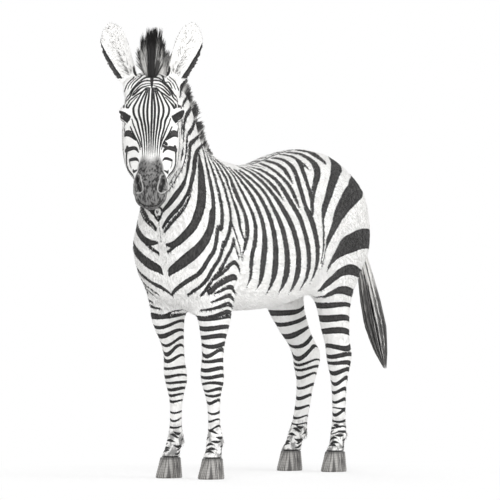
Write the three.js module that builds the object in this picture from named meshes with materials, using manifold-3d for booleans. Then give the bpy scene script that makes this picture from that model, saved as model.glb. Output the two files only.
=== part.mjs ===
// A zebra standing squarely on four hooves with its head turned to its left, at life size.
// Millimetres, +Z up. The animal faces -Y and its left side is +X.
// The flesh is one smooth body: lofts with named stations and muscles, blended together, then
// parted into trunk, neck, head and legs by thin flat cuts. Hooves, ears, eyes, mane, forelock
// and tail are solids of their own that meet it.
import * as THREE from 'three';
import { mergeVertices } from 'three/addons/utils/BufferGeometryUtils.js';
import Module from 'manifold-3d';

const wasm = await Module();
wasm.setup();

// ---- driving dimensions -------------------------------------------------------------------

const GAP = 0.3;               // clearance between neighbouring solids
const BLEND = 34;              // how softly one form runs into the next

const FORE_CUT = 656;          // height of the cut across each foreleg, below the elbow
const HIND_CUT = 700;          // height of the cut across each hind leg, under the flank
const KNEE_CUT = 330;          // below the knee
const HOCK_CUT = 400;          // below the hock
const CORONET = 84;            // top of the hoof at its middle

const HEAD_TURN = 34;          // degrees that the head is turned to the left
const HEAD_DIP = 53;           // degrees from level down to the line of the face
const POLL = [5, -671, 1602];  // where the head's own frame sits

const EYE = { along: 165, depth: -52, side: 98, radius: 22 };
const EAR = { along: 14, depth: -34, side: 75, length: 286, thick: 7 };

// The trunk from the breast to the buttocks.
// Each station: y, height of the back, height of the belly, half width, how much wider it is below.
const TRUNK = [
  [-562, 1080, 800, 60, 0],
  [-530, 1150, 742, 112, 0.1],
  [-460, 1228, 702, 160, 0.2],
  [-380, 1276, 684, 192, 0.28],
  [-300, 1296, 674, 208, 0.32],
  [-190, 1274, 667, 232, 0.24],
  [-60, 1255, 667, 250, 0.18],
  [80, 1270, 673, 261, 0.14],
  [220, 1304, 692, 259, 0.1],
  [335, 1325, 732, 245, 0.08],
  [445, 1322, 800, 225, 0.04],
  [540, 1290, 866, 196, 0],
  [610, 1236, 924, 156, 0],
  [645, 1190, 966, 108, 0],
];

// A foreleg and a hind leg round their own line.
// Each station: z, reach to the front, reach to the back, half width.
const FORELEG = [
  [900, 105, 110, 62],
  [800, 92, 108, 66],
  [705, 72, 80, 66],
  [620, 58, 60, 54],
  [530, 46, 46, 45],
  [470, 42, 42, 43],
  [425, 45, 44, 47],
  [385, 43, 44, 46],
  [345, 33, 37, 35],
  [300, 26, 31, 27],
  [230, 25, 29, 25],
  [185, 28, 35, 28],
  [150, 34, 43, 34],
  [120, 33, 33, 31],
  [95, 36, 36, 37],
  [60, 44, 44, 44],
];
const HIND_LEG = [
  [960, 150, 150, 70],
  [860, 136, 126, 75],
  [780, 120, 102, 75],
  [735, 110, 79, 73],
  [660, 88, 61, 64],
  [580, 70, 59, 57],
  [530, 58, 62, 51],
  [485, 53, 66, 53],
  [440, 51, 50, 48],
  [400, 42, 43, 39],
  [330, 34, 36, 31],
  [230, 31, 34, 28],
  [185, 32, 39, 30],
  [150, 35, 42, 34],
  [120, 34, 33, 31],
  [95, 37, 36, 37],
  [60, 44, 44, 44],
];

// Where each leg stands, and how stout it is beside the stations above.
// Each point of its line: z, x, y, given for the left side of the body.
const STANCE = {
  fore_left: {
    side: 1,
    fore: true,
    bulk: 1,
    line: [[900, 118, -415], [656, 118, -402], [410, 108, -396], [266, 106, -382], [150, 105, -376], [90, 104, -388], [0, 103, -402]],
  },
  fore_right: {
    side: -1,
    fore: true,
    bulk: 0.98,
    line: [[900, 118, -405], [656, 114, -376], [410, 104, -346], [266, 103, -346], [150, 103, -354], [90, 105, -380], [0, 108, -409]],
  },
  hind_left: {
    side: 1,
    fore: false,
    bulk: 0.97,
    line: [[960, 118, 465], [735, 128, 458], [580, 118, 488], [480, 114, 515], [320, 110, 525], [150, 107, 523], [90, 106, 502],
      [0, 105, 480]],
  },
  hind_right: {
    side: -1,
    fore: false,
    bulk: 1.08,
    line: [[960, 118, 465], [735, 126, 472], [580, 118, 538], [480, 114, 615], [320, 110, 599], [150, 106, 536], [90, 107, 496],
      [0, 109, 460]],
  },
};

// Muscles and bony points that stand out of the lofts, given for the left side, then mirrored.
// Each: centre, radii, degrees of lean in the side view.
const MUSCLES = {
  shoulder_blade: { at: [104, -372, 1050], size: [76, 92, 190], lean: -22 },
  point_of_shoulder: { at: [102, -514, 902], size: [76, 78, 132], lean: 18 },
  upper_arm: { at: [134, -400, 850], size: [70, 120, 125], lean: 0 },
  breast: { at: [48, -548, 890], size: [62, 56, 125], lean: 6 },
  forearm: { at: [122, -396, 700], size: [60, 66, 130], lean: 0 },
  hip: { at: [134, 345, 1165], size: [92, 130, 105], lean: 0 },
  rump: { at: [117, 499, 1076], size: [110, 146, 146], lean: 22 },
  thigh: { at: [132, 466, 930], size: [98, 168, 225], lean: -10 },
  buttock: { at: [108, 605, 984], size: [86, 86, 172], lean: 8 },
  stifle: { at: [150, 360, 800], size: [62, 78, 98], lean: -20 },
};

// The chest between the shoulders.
const CHEST = { at: [0, -452, 930], size: [146, 158, 240] };

// The neck, from the withers to the poll. Each station: a point on the crest, one on the throat
// and the half width between them.
const NECK = [
  { crest: [0, -300, 1286], throat: [0, -612, 955], width: 138 },
  { crest: [1, -375, 1335], throat: [0, -618, 1085], width: 116 },
  { crest: [2, -424, 1410], throat: [0, -606, 1195], width: 99 },
  { crest: [4, -470, 1490], throat: [0, -588, 1290], width: 89 },
  { crest: [6, -525, 1560], throat: [2, -578, 1360], width: 84 },
  { crest: [6, -606, 1604], throat: [4, -596, 1420], width: 80 },
];
const NECK_BASE = { crest: [0, -296, 1352], throat: [0, -690, 1010] };

// The head in its own frame. Each station: along the face from the poll, height of the face
// line, height of the jaw line, half width, how much wider it is at the cheek than at the face.
const HEAD = [
  [-34, -50, -115, 34, 0],
  [-8, -24, -156, 79, 0],
  [42, -4, -194, 103, -0.04],
  [100, 4, -214, 114, -0.02],
  [158, 6, -218, 115, 0.04],
  [225, 2, -212, 109, 0.16],
  [298, -5, -190, 103, 0.3],
  [368, -9, -170, 97, 0.32],
  [438, -13, -145, 71, 0.16],
  [500, -18, -141, 67, 0.02],
  [542, -29, -138, 62, 0],
  [572, -48, -120, 46, 0],
  [584, -66, -98, 22, 0],
];
// Forms of the head: place along the face, height, side, and the radii in the same order.
const HEAD_FORMS = {
  poll: { at: [12, -61, 29], size: [71, 50, 70] },
  brow: { at: [154, -38, 101], size: [42, 26, 34] },
  cheek: { at: [226, -128, 70], size: [124, 84, 46] },
  cheek_bone: { at: [245, -75, 80], size: [100, 23, 26] },
  nostril_wing: { at: [506, -50, 46], size: [42, 35, 26] },
  upper_lip: { at: [550, -74, 17], size: [28, 34, 38] },
  chin: { at: [518, -136, 11], size: [38, 22, 32] },
  ear_root: { at: [24, -46, 80], size: [44, 35, 38] },
};
const NOSTRIL = { at: [512, -46, 66], size: [21, 16, 16] };

// The ear's outline: share of its length, half width, depth of its cup.
const EAR_SHAPE = [
  [0, 26, 30],
  [0.12, 34, 34],
  [0.3, 47, 33],
  [0.5, 55, 28],
  [0.68, 58, 22],
  [0.84, 49, 15],
  [0.95, 31, 10],
  [1, 11, 8],
];

// The crest of the mane: the point on the neck, height of the hair, half thickness.
const MANE = [
  { at: [0, -256, 1272], hair: 14, thick: 12 },
  { at: [0, -312, 1290], hair: 42, thick: 18 },
  { at: [1, -375, 1334], hair: 88, thick: 22 },
  { at: [2, -424, 1408], hair: 122, thick: 25 },
  { at: [4, -471, 1489], hair: 134, thick: 28 },
  { at: [6, -528, 1558], hair: 141, thick: 30 },
  { at: [7, -606, 1600], hair: 132, thick: 31 },
  { at: [6, -660, 1602], hair: 126, thick: 31 },
];
const FORELOCK = { along: 54, depth: -14, height: 246, width: 45, depthWise: 36 };

// The tail: its bare dock, then its tuft. Each station: x, y, z, half width.
const DOCK = [
  [0, 570, 1212, 36],
  [3, 645, 1182, 34],
  [14, 696, 1112, 29],
  [34, 728, 1020, 25],
  [58, 750, 930, 23],
  [75, 763, 846, 22.5],
];
const TUFT = [
  [72, 760.5, 872, 22],
  [84, 770, 790, 33],
  [91, 786, 712, 42],
  [96, 806, 635, 47],
  [100, 824, 572, 46],
  [104, 842, 508, 35],
  [109, 860, 450, 19],
  [113, 872, 412, 5],
];

const TAIL_JOINT = [74, 762, 858];

// ---- small mathematics --------------------------------------------------------------------

const rad = THREE.MathUtils.degToRad;
const lerp = THREE.MathUtils.lerp;
const clamp = THREE.MathUtils.clamp;

// Joins two distances into one smooth surface.
function blend(a, b, k) {
  const h = Math.max(k - Math.abs(a - b), 0) / k;
  return Math.min(a, b) - h * h * k * 0.25;
}

// Cuts b out of a with a soft edge.
function carve(a, b, k) {
  return -blend(-a, b, k);
}

// Reads rows of [place, value, value, ...] at any place, along a smooth curve through them.
function readAlong(rows, place) {
  const last = rows.length - 1;
  const rising = rows[last][0] > rows[0][0] ? 1 : -1;
  let i = 0;
  while (i < last - 1 && (rows[i + 1][0] - place) * rising < 0) i += 1;
  const [a, b] = [rows[i], rows[i + 1]];
  const span = b[0] - a[0];
  const t = clamp((place - a[0]) / span, 0, 1);
  const before = rows[Math.max(i - 1, 0)];
  const after = rows[Math.min(i + 2, last)];
  return a.slice(1).map((value, j) => {
    const column = j + 1;
    const slopeA = ((b[column] - before[column]) / (b[0] - before[0])) * span;
    const slopeB = ((after[column] - value) / (after[0] - a[0])) * span;
    const t2 = t * t;
    const t3 = t2 * t;
    return (2 * t3 - 3 * t2 + 1) * value + (t3 - 2 * t2 + t) * slopeA
      + (3 * t2 - 2 * t3) * b[column] + (t3 - t2) * slopeB;
  });
}

// About how far (a, b) is outside an oval of half sizes w and h.
function oval(a, b, w, h, power = 2) {
  const reach = (Math.abs(a / w) ** power + Math.abs(b / h) ** power) ** (1 / power);
  return (reach - 1) * Math.min(w, h);
}

// ---- the head's own frame -----------------------------------------------------------------

const facing = new THREE.Vector3(Math.sin(rad(HEAD_TURN)), -Math.cos(rad(HEAD_TURN)), 0);
const headAlong = facing.clone().multiplyScalar(Math.cos(rad(HEAD_DIP))).setZ(-Math.sin(rad(HEAD_DIP)));
const headDepth = facing.clone().multiplyScalar(Math.sin(rad(HEAD_DIP))).setZ(Math.cos(rad(HEAD_DIP)));
const headSide = new THREE.Vector3(-facing.y, facing.x, 0);
const headMatrix = new THREE.Matrix4().makeBasis(headAlong, headDepth, headSide).setPosition(...POLL);
const headInverse = headMatrix.clone().invert();
const fromHead = (along, depth, side) => new THREE.Vector3(along, depth, side).applyMatrix4(headMatrix);

// ---- the flesh as one field: negative inside, positive outside ----------------------------

function trunkField(p) {
  const y = clamp(p.y, TRUNK[0][0], TRUNK.at(-1)[0]);
  const [top, bottom, half, pear] = readAlong(TRUNK, y);
  const middle = (top + bottom) / 2;
  const tall = Math.max((top - bottom) / 2, 5);
  const up = clamp((p.z - middle) / tall, -1.3, 1.3);
  return oval(p.x, p.z - middle, half * (1 - pear * up), tall, 2.15) + Math.abs(p.y - y);
}

function legField(p, stance) {
  const sections = stance.fore ? FORELEG : HIND_LEG;
  const z = clamp(p.z, sections.at(-1)[0], sections[0][0]);
  const [x, y] = readAlong(stance.line, z);
  const [front, back, half] = readAlong(sections, z).map((reach) => reach * stance.bulk);
  const depth = p.y - y;
  return oval(p.x - stance.side * x, depth, half, depth < 0 ? front : back, 2.2) + Math.abs(p.z - z);
}

function lumpField(p, muscle, side) {
  const [x, y, z] = muscle.at;
  const [sx, sy, sz] = muscle.size;
  const turn = rad(muscle.lean);
  const dy = p.y - y;
  const dz = p.z - z;
  const a = (p.x - side * x) / sx;
  const b = (dy * Math.cos(turn) + dz * Math.sin(turn)) / sy;
  const c = (dz * Math.cos(turn) - dy * Math.sin(turn)) / sz;
  return (Math.hypot(a, b, c) - 1) * Math.min(sx, sy, sz);
}

const neckStations = NECK.map(({ crest, throat, width }, i) => {
  const top = new THREE.Vector3(...crest);
  const low = new THREE.Vector3(...throat);
  const towardCrest = top.clone().sub(low).normalize();
  const turned = new THREE.Vector3(1, 0, 0).lerp(headSide, i / (NECK.length - 1));
  const side = turned.addScaledVector(towardCrest, -turned.dot(towardCrest)).normalize();
  return { at: top.clone().lerp(low, 0.5), width, depth: top.distanceTo(low) / 2, side, towardCrest };
});

function directionOf([, y0, z0], [, y1, z1]) {
  const length = Math.hypot(y1 - y0, z1 - z0);
  return [(y1 - y0) / length, (z1 - z0) / length];
}

function neckField(p) {
  let nearest = Infinity;
  for (let i = 0; i < neckStations.length - 1; i += 1) {
    const [a, b] = [neckStations[i], neckStations[i + 1]];
    const step = b.at.clone().sub(a.at);
    const offset = p.clone().sub(a.at);
    const t = clamp(offset.dot(step) / step.lengthSq(), 0, 1);
    offset.addScaledVector(step, -t);
    const width = lerp(a.width, b.width, t);
    const depth = lerp(a.depth, b.depth, t);
    const side = offset.dot(a.side.clone().lerp(b.side, t));
    const back = offset.dot(a.towardCrest.clone().lerp(b.towardCrest, t));
    const rest = Math.sqrt(Math.max(offset.lengthSq() - side * side - back * back, 0));
    const reach = Math.hypot(side / width, back / depth, rest / depth);
    nearest = blend(nearest, (reach - 1) * width, i ? 20 : 1e-6);
  }
  return nearest;
}

function headLump([l, d, s], form, side) {
  const [al, ad, as] = form.at;
  const [sl, sd, ss] = form.size;
  return (Math.hypot((l - al) / sl, (d - ad) / sd, (s - side * as) / ss) - 1) * Math.min(sl, sd, ss);
}

function headField(p) {
  const local = p.clone().applyMatrix4(headInverse).toArray();
  const along = clamp(local[0], HEAD[0][0], HEAD.at(-1)[0]);
  const [face, jaw, half, pear] = readAlong(HEAD, along);
  const middle = (face + jaw) / 2;
  const tall = Math.max((face - jaw) / 2, 5);
  const up = clamp((local[1] - middle) / tall, -1.2, 1.2);
  // The jaw is narrower than the skull above it, below the widest line.
  const jawShare = clamp(-up, 0, 1) ** 2 * 0.22;
  const wide = half * (1 - pear * up) * (1 - jawShare);
  let f = oval(local[2], local[1] - middle, wide, tall, 2.3) + Math.abs(local[0] - along);
  for (const form of Object.values(HEAD_FORMS)) {
    for (const side of [-1, 1]) f = blend(f, headLump(local, form, side), 16);
  }
  for (const side of [-1, 1]) f = carve(f, headLump(local, NOSTRIL, side), 6);
  return f;
}

function bodyField(p) {
  let f = trunkField(p);
  for (const muscle of Object.values(MUSCLES)) {
    for (const side of [-1, 1]) f = blend(f, lumpField(p, muscle, side), BLEND);
  }
  for (const stance of Object.values(STANCE)) f = blend(f, legField(p, stance), BLEND);
  f = blend(f, lumpField(p, { ...CHEST, lean: 0 }, 1), 60);
  return blend(f, neckField(p), 60);
}

// ---- solids from fields and lofts ---------------------------------------------------------

// A closed geometry as a manifold-3d solid, with its faces pointing out.
function solidOf(geometry) {
  const bare = geometry.clone();
  for (const name of ['normal', 'uv']) bare.deleteAttribute(name);
  const merged = mergeVertices(bare, 1e-3);
  const triVerts = new Uint32Array(merged.index.array);
  const make = () => new wasm.Manifold(
    new wasm.Mesh({ numProp: 3, vertProperties: merged.attributes.position.array, triVerts }),
  );
  const made = make();
  if (made.volume() > 0) return made;
  for (let i = 0; i < triVerts.length; i += 3) {
    [triVerts[i + 1], triVerts[i + 2]] = [triVerts[i + 2], triVerts[i + 1]];
  }
  return make();
}

// The way out of a field at p.
function slope(field, p) {
  const step = 0.5;
  const at = (axis, sign) => field(p.clone().setComponent(axis, p.getComponent(axis) + sign * step));
  return new THREE.Vector3(...[0, 1, 2].map((axis) => (at(axis, 1) - at(axis, -1)) / (2 * step)));
}

// A mesh of the surface where the field is zero: one point in each cell of a grid that the
// surface crosses, moved onto it and evened out, then moved out by grow. The grid is open space
// at its border.
function netOf(field, low, high, cell, grow = 0) {
  const count = [0, 1, 2].map((i) => Math.ceil((high[i] - low[i]) / cell[i]) + 1);
  const stride = [1, count[0], count[0] * count[1]];
  const values = new Float32Array(count[0] * count[1] * count[2]);
  const corner = (i, j, k) => new THREE.Vector3(low[0] + i * cell[0], low[1] + j * cell[1], low[2] + k * cell[2]);
  eachCell(count, (i, j, k) => {
    const border = [i, j, k].some((v, axis) => v === 0 || v === count[axis] - 1);
    values[i + j * stride[1] + k * stride[2]] = border ? cell[0] : field(corner(i, j, k)) || 1e-4;
  });
  joinDiagonals(values, count, stride);
  const corners = [0, 1, 2, 3, 4, 5, 6, 7].map((n) => [n & 1, (n >> 1) & 1, n >> 2]);
  const places = [];
  const loose = new Set();
  const pointIn = new Map();
  eachCell(count.map((n) => n - 1), (i, j, k) => {
    const base = i + j * stride[1] + k * stride[2];
    const sum = new THREE.Vector3();
    let crossings = 0;
    for (const [a, b, c] of corners) {
      const from = values[base + a + b * stride[1] + c * stride[2]];
      [[1, 0, 0], [0, 1, 0], [0, 0, 1]].forEach(([u, v, w]) => {
        if (a + u > 1 || b + v > 1 || c + w > 1) return;
        const to = values[base + a + u + (b + v) * stride[1] + (c + w) * stride[2]];
        if (from < 0 === to < 0) return;
        const t = from / (from - to);
        sum.add(corner(i + a + u * t, j + b + v * t, k + c + w * t));
        crossings += 1;
      });
    }
    if (!crossings) return;
    if ([i, j, k].every((v, axis) => v > 0 && v < count[axis] - 2)) loose.add(places.length);
    pointIn.set(base, places.length);
    places.push(sum.divideScalar(crossings));
  });
  const quads = [];
  eachCell(count.map((n) => n - 1), (i, j, k) => {
    const base = i + j * stride[1] + k * stride[2];
    [0, 1, 2].forEach((axis) => {
      const [u, v] = [(axis + 1) % 3, (axis + 2) % 3];
      if ([i, j, k][u] === 0 || [i, j, k][v] === 0) return;
      const inside = values[base] < 0;
      if (inside === values[base + stride[axis]] < 0) return;
      const quad = [base, base - stride[u], base - stride[u] - stride[v], base - stride[v]].map((c) => pointIn.get(c));
      if (!inside) quad.reverse();
      quads.push(quad);
    });
  });
  for (let turn = 0; turn < 4; turn += 1) {
    evenOut(places, quads, loose);
    for (const n of loose) settle(field, places[n], Math.min(...cell) * 0.3);
  }
  for (const n of loose) places[n].addScaledVector(slope(field, places[n]).normalize(), grow);
  const geometry = new THREE.BufferGeometry().setFromPoints(places);
  geometry.setIndex(quads.flatMap((quad) => splitQuad(places, quad)));
  return geometry;
}

function eachCell([a, b, c], visit) {
  for (let k = 0; k < c; k += 1) for (let j = 0; j < b; j += 1) for (let i = 0; i < a; i += 1) visit(i, j, k);
}

// Where two corners of a grid face are inside and meet only across its diagonal, takes a third
// one in, so that the surface never touches itself along an edge.
function joinDiagonals(values, count, stride) {
  let again = true;
  while (again) {
    again = false;
    eachCell(count.map((n) => n - 1), (i, j, k) => {
      const base = i + j * stride[1] + k * stride[2];
      [[0, 1], [1, 2], [0, 2]].forEach(([u, v]) => {
        const face = [base, base + stride[u], base + stride[v], base + stride[u] + stride[v]];
        const [a, b, c, d] = face.map((n) => values[n] < 0);
        if (a !== d || b !== c || a === b) return;
        const nearest = face.filter((n) => values[n] >= 0).sort((m, n) => values[m] - values[n])[0];
        values[nearest] = -0.1;
        again = true;
      });
    });
  }
}

// Moves each loose point half way to the middle of its neighbours.
function evenOut(places, quads, loose) {
  const sums = places.map(() => new THREE.Vector3());
  const counts = new Array(places.length).fill(0);
  for (const quad of quads) {
    quad.forEach((n, i) => {
      sums[n].add(places[quad[(i + 1) % 4]]).add(places[quad[(i + 3) % 4]]);
      counts[n] += 2;
    });
  }
  for (const n of loose) places[n].lerp(sums[n].divideScalar(counts[n]), 0.5);
}

// Moves p towards the field's surface, by reach at most.
function settle(field, p, reach) {
  const out = slope(field, p);
  p.addScaledVector(out.normalize(), -clamp(field(p) / Math.max(out.length(), 0.5), -reach, reach));
}

// Two triangles from a quad, along its shorter diagonal.
function splitQuad(places, [a, b, c, d]) {
  const across = places[a].distanceTo(places[c]) <= places[b].distanceTo(places[d]);
  return across ? [a, b, c, a, c, d] : [a, b, d, b, c, d];
}

// A closed tube: a cylinder whose rings are moved to wall(ring, angle) and whose end caps meet at core(ring).
function loft(rings, segments, wall, core) {
  const geometry = new THREE.CylinderGeometry(1, 1, 1, segments, rings - 1);
  const place = geometry.getAttribute('position');
  for (let i = 0; i < place.count; i += 1) {
    const ring = Math.round((0.5 - place.getY(i)) * (rings - 1));
    const step = Math.round((Math.atan2(place.getX(i), place.getZ(i)) / (2 * Math.PI)) * segments);
    const angle = (((step + segments) % segments) / segments) * 2 * Math.PI;
    const onWall = Math.hypot(place.getX(i), place.getZ(i)) > 0.5;
    const p = onWall ? wall(ring, angle) : core(ring);
    place.setXYZ(i, p.x, p.y, p.z);
  }
  return geometry;
}

// How far a ray runs from a point inside the flesh before it leaves it.
function reachOut(field, from, way, farthest) {
  let near = 0;
  const step = 6;
  while (near < farthest && field(from.clone().addScaledVector(way, near + step)) < 0) near += step;
  let far = near + step;
  for (let turn = 0; turn < 14; turn += 1) {
    const middle = (near + far) / 2;
    if (field(from.clone().addScaledVector(way, middle)) < 0) near = middle;
    else far = middle;
  }
  return near;
}

// A length of the flesh between flat ends: rings, each in its own plane, run out to the surface.
function sleeve(rings, segments) {
  const wall = (k, angle) => {
    const { at, side, front } = rings[k];
    const way = side.clone().multiplyScalar(Math.cos(angle)).addScaledVector(front, Math.sin(angle)).normalize();
    return at.clone().addScaledVector(way, reachOut(bodyField, at, way, 200));
  };
  return solidOf(loft(rings.length, segments, wall, (k) => rings[k].at.clone()));
}

// A tube of round sections along a curve through rows of [x, y, z, half width].
function tube(rows, rings, segments) {
  const path = new THREE.CatmullRomCurve3(rows.map(([x, y, z]) => new THREE.Vector3(x, y, z)));
  const halves = rows.map((row, i) => [i / (rows.length - 1), row[3]]);
  const across = new THREE.Vector3(1, 0, 0);
  const wall = (k, angle) => {
    const t = k / (rings - 1);
    const tangent = path.getTangent(t);
    const front = new THREE.Vector3().crossVectors(tangent, across).normalize();
    const side = new THREE.Vector3().crossVectors(front, tangent).normalize();
    const [half] = readAlong(halves, t);
    return path.getPoint(t).addScaledVector(side, half * Math.cos(angle)).addScaledVector(front, half * Math.sin(angle));
  };
  return solidOf(loft(rings, segments, wall, (k) => path.getPoint(k / (rings - 1))));
}

// A big block on the far side of the plane through at, where way points.
function blockBeyond(at, way, size = 1600) {
  const block = new THREE.BoxGeometry(size, size, size);
  block.translate(0, 0, size / 2);
  block.applyQuaternion(new THREE.Quaternion().setFromUnitVectors(new THREE.Vector3(0, 0, 1), way.clone().normalize()));
  block.translate(at.x, at.y, at.z);
  return solidOf(block);
}

function boxSolid(low, high) {
  const size = high.map((v, i) => v - low[i]);
  const box = new THREE.BoxGeometry(...size);
  box.translate(...high.map((v, i) => (v + low[i]) / 2));
  return solidOf(box);
}

// Moves the points that nearly touch a plane a little away from it, so that a cut there leaves
// no tiny edges.
function keepClear(geometry, at, way, room = 1) {
  const place = geometry.getAttribute('position');
  const p = new THREE.Vector3();
  for (let i = 0; i < place.count; i += 1) {
    const height = p.fromBufferAttribute(place, i).sub(at).dot(way);
    if (Math.abs(height) >= room) continue;
    p.addScaledVector(way, (height < 0 ? -room : room) - height).add(at);
    place.setXYZ(i, p.x, p.y, p.z);
  }
}

// The largest body of a solid, so that no sliver of a cut stays behind.
function largest(solid) {
  return solid.decompose().sort((a, b) => b.volume() - a.volume())[0];
}

// ---- the parts ----------------------------------------------------------------------------

// The plane where the neck meets the trunk.
const neckBaseMiddle = new THREE.Vector3(...NECK_BASE.crest).lerp(new THREE.Vector3(...NECK_BASE.throat), 0.46);
const neckBaseUp = new THREE.Vector3(0, ...directionOf(NECK_BASE.throat, NECK_BASE.crest));
const neckBaseWay = new THREE.Vector3(0, -neckBaseUp.z, neckBaseUp.y);

// Level rings down a leg from one height to another.
function legRings(stance, top, bottom, count) {
  return Array.from({ length: count }, (_, k) => {
    const z = lerp(top, bottom, k / (count - 1));
    const [x, y] = readAlong(stance.line, z);
    return {
      at: new THREE.Vector3(stance.side * x, y, z),
      side: new THREE.Vector3(1, 0, 0),
      front: new THREE.Vector3(0, 1, 0),
    };
  });
}

// The trunk's surface before it is parted, with the roots of the neck and legs.
function trunkNet(grow = 0) {
  return netOf(bodyField, [-340, -730, 560], [340, 745, 1440], [65, 61, 56], grow);
}

function makeTrunk() {
  const beyond = neckBaseMiddle.clone().addScaledVector(neckBaseWay, -GAP / 2);
  const net = trunkNet();
  keepClear(net, beyond, neckBaseWay);
  for (const z of [FORE_CUT, HIND_CUT]) keepClear(net, new THREE.Vector3(0, 0, z + GAP / 2), new THREE.Vector3(0, 0, 1));
  const foreLegs = boxSolid([-400, -720, 300], [400, -250, FORE_CUT + GAP / 2]);
  const hindLegs = boxSolid([-400, 262, 300], [400, 800, HIND_CUT + GAP / 2]);
  return largest(solidOf(net).subtract(blockBeyond(beyond, neckBaseWay)).subtract(foreLegs).subtract(hindLegs));
}

// The neck's surface before it is parted, with the top of the trunk.
function neckNet(grow = 0) {
  return netOf(bodyField, [-240, -800, 820], [240, -160, 1720], [47, 46, 48], grow);
}

function makeNeck(grownHead) {
  const beyond = neckBaseMiddle.clone().addScaledVector(neckBaseWay, GAP / 2);
  const net = neckNet();
  keepClear(net, beyond, neckBaseWay);
  return largest(solidOf(net).subtract(blockBeyond(beyond, neckBaseWay.clone().negate())).subtract(grownHead));
}

// The whole head, to behind the jaw, where it is set into the neck.
function wholeHead(grow = 0) {
  const field = (q) => headField(q.clone().applyMatrix4(headMatrix));
  const net = netOf(field, [-125, -280, -190], [624, 70, 190], [29, 25.8, 28], grow);
  net.applyMatrix4(headMatrix);
  return solidOf(net);
}

function makeHead() {
  let head = wholeHead();
  for (const side of [-1, 1]) head = head.subtract(makeEye(side, GAP));
  return largest(head);
}

function makeLegs() {
  const parts = {};
  for (const [name, stance] of Object.entries(STANCE)) {
    const [cut, joint] = stance.fore ? [FORE_CUT, KNEE_CUT] : [HIND_CUT, HOCK_CUT];
    parts[`leg_${name}_upper`] = sleeve(legRings(stance, cut - GAP / 2, joint + GAP / 2, 11), 12);
    parts[`leg_${name}_lower`] = sleeve(legRings(stance, joint - GAP / 2, CORONET + GAP / 2, 10), 12);
    parts[`hoof_${name}`] = makeHoof(stance);
  }
  return parts;
}

// A hoof: an oval horn wall that widens to the ground, longer at the toe than at the heel.
function makeHoof(stance) {
  const [topX, topY] = readAlong(stance.line, CORONET);
  const rows = [[1, 38, 40, 41], [0.72, 48, 39, 45], [0.4, 60, 39, 48], [0.08, 72, 39, 51], [0, 71, 38, 50]];
  const wall = (k, angle) => {
    const [share, toe, heel, half] = rows[k];
    const front = Math.sin(angle);
    const x = stance.side * topX + half * Math.sign(Math.cos(angle)) * Math.abs(Math.cos(angle)) ** 0.9;
    const y = topY + front * (front < 0 ? toe : heel);
    return new THREE.Vector3(x, y, share * (CORONET - GAP / 2));
  };
  const core = (k) => new THREE.Vector3(stance.side * topX, topY, rows[k][0] * (CORONET - GAP / 2));
  return solidOf(loft(rows.length, 14, wall, core));
}

function makeEye(side, grow = 0) {
  const ball = new THREE.SphereGeometry(EYE.radius + grow, 12, 8);
  const at = fromHead(EYE.along, EYE.depth, side * EYE.side);
  ball.translate(at.x, at.y, at.z);
  return solidOf(ball);
}

// An ear: a thin cupped leaf that opens to the front and a little outwards.
function makeEar(side) {
  const base = fromHead(EAR.along, EAR.depth, side * EAR.side);
  const axis = new THREE.Vector3(0, 0, 1).addScaledVector(headSide, side * 0.38).addScaledVector(facing, 0.05).normalize();
  const open = facing.clone().addScaledVector(headSide, side * 0.3);
  open.addScaledVector(axis, -open.dot(axis)).normalize();
  const across = new THREE.Vector3().crossVectors(axis, open).normalize();
  const rings = 12;
  const wall = (k, angle) => {
    const t = k / (rings - 1);
    const [half, cup] = readAlong(EAR_SHAPE, t);
    const outer = angle <= Math.PI;
    const turn = outer ? angle : 2 * Math.PI - angle;
    const inset = outer ? 0 : Math.min(EAR.thick, half * 0.5, cup * 0.6);
    const bowed = 14 * Math.sin(Math.PI * t);
    return base.clone()
      .addScaledVector(axis, (t - 0.1) * EAR.length)
      .addScaledVector(across, (half - inset * 0.5) * Math.cos(turn))
      .addScaledVector(headSide, side * bowed)
      .addScaledVector(open, 8 - (cup - inset) * Math.sin(turn));
  };
  const core = (k) => wall(k, Math.PI / 2).lerp(wall(k, 1.5 * Math.PI), 0.5);
  return solidOf(loft(rings, 16, wall, core));
}

// The standing mane: a fin along the crest, thick at its roots.
function makeMane() {
  const path = new THREE.CatmullRomCurve3(MANE.map(({ at }) => new THREE.Vector3(...at)));
  const rows = MANE.map(({ hair, thick }, i) => [i / (MANE.length - 1), hair, thick]);
  const rings = 11;
  const buried = 26;
  const frame = (k) => {
    const t = k / (rings - 1);
    const tangent = path.getTangent(t);
    const side = new THREE.Vector3(1, 0, 0).lerp(headSide, t).normalize();
    const up = new THREE.Vector3().crossVectors(tangent, side).normalize();
    if (up.z < 0) up.negate();
    const [hair, thick] = readAlong(rows, t);
    return { at: path.getPoint(t), side, up, hair, thick };
  };
  const wall = (k, angle) => {
    const { at, side, up, hair, thick } = frame(k);
    const rise = 0.5 + 0.5 * Math.sin(angle);
    return at.clone()
      .addScaledVector(up, -buried + (hair + buried) * rise)
      .addScaledVector(side, thick * Math.cos(angle) * (1 - 0.35 * rise));
  };
  const core = (k) => wall(k, Math.PI / 2).lerp(wall(k, -Math.PI / 2), 0.5);
  return solidOf(loft(rings, 8, wall, core));
}

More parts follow.
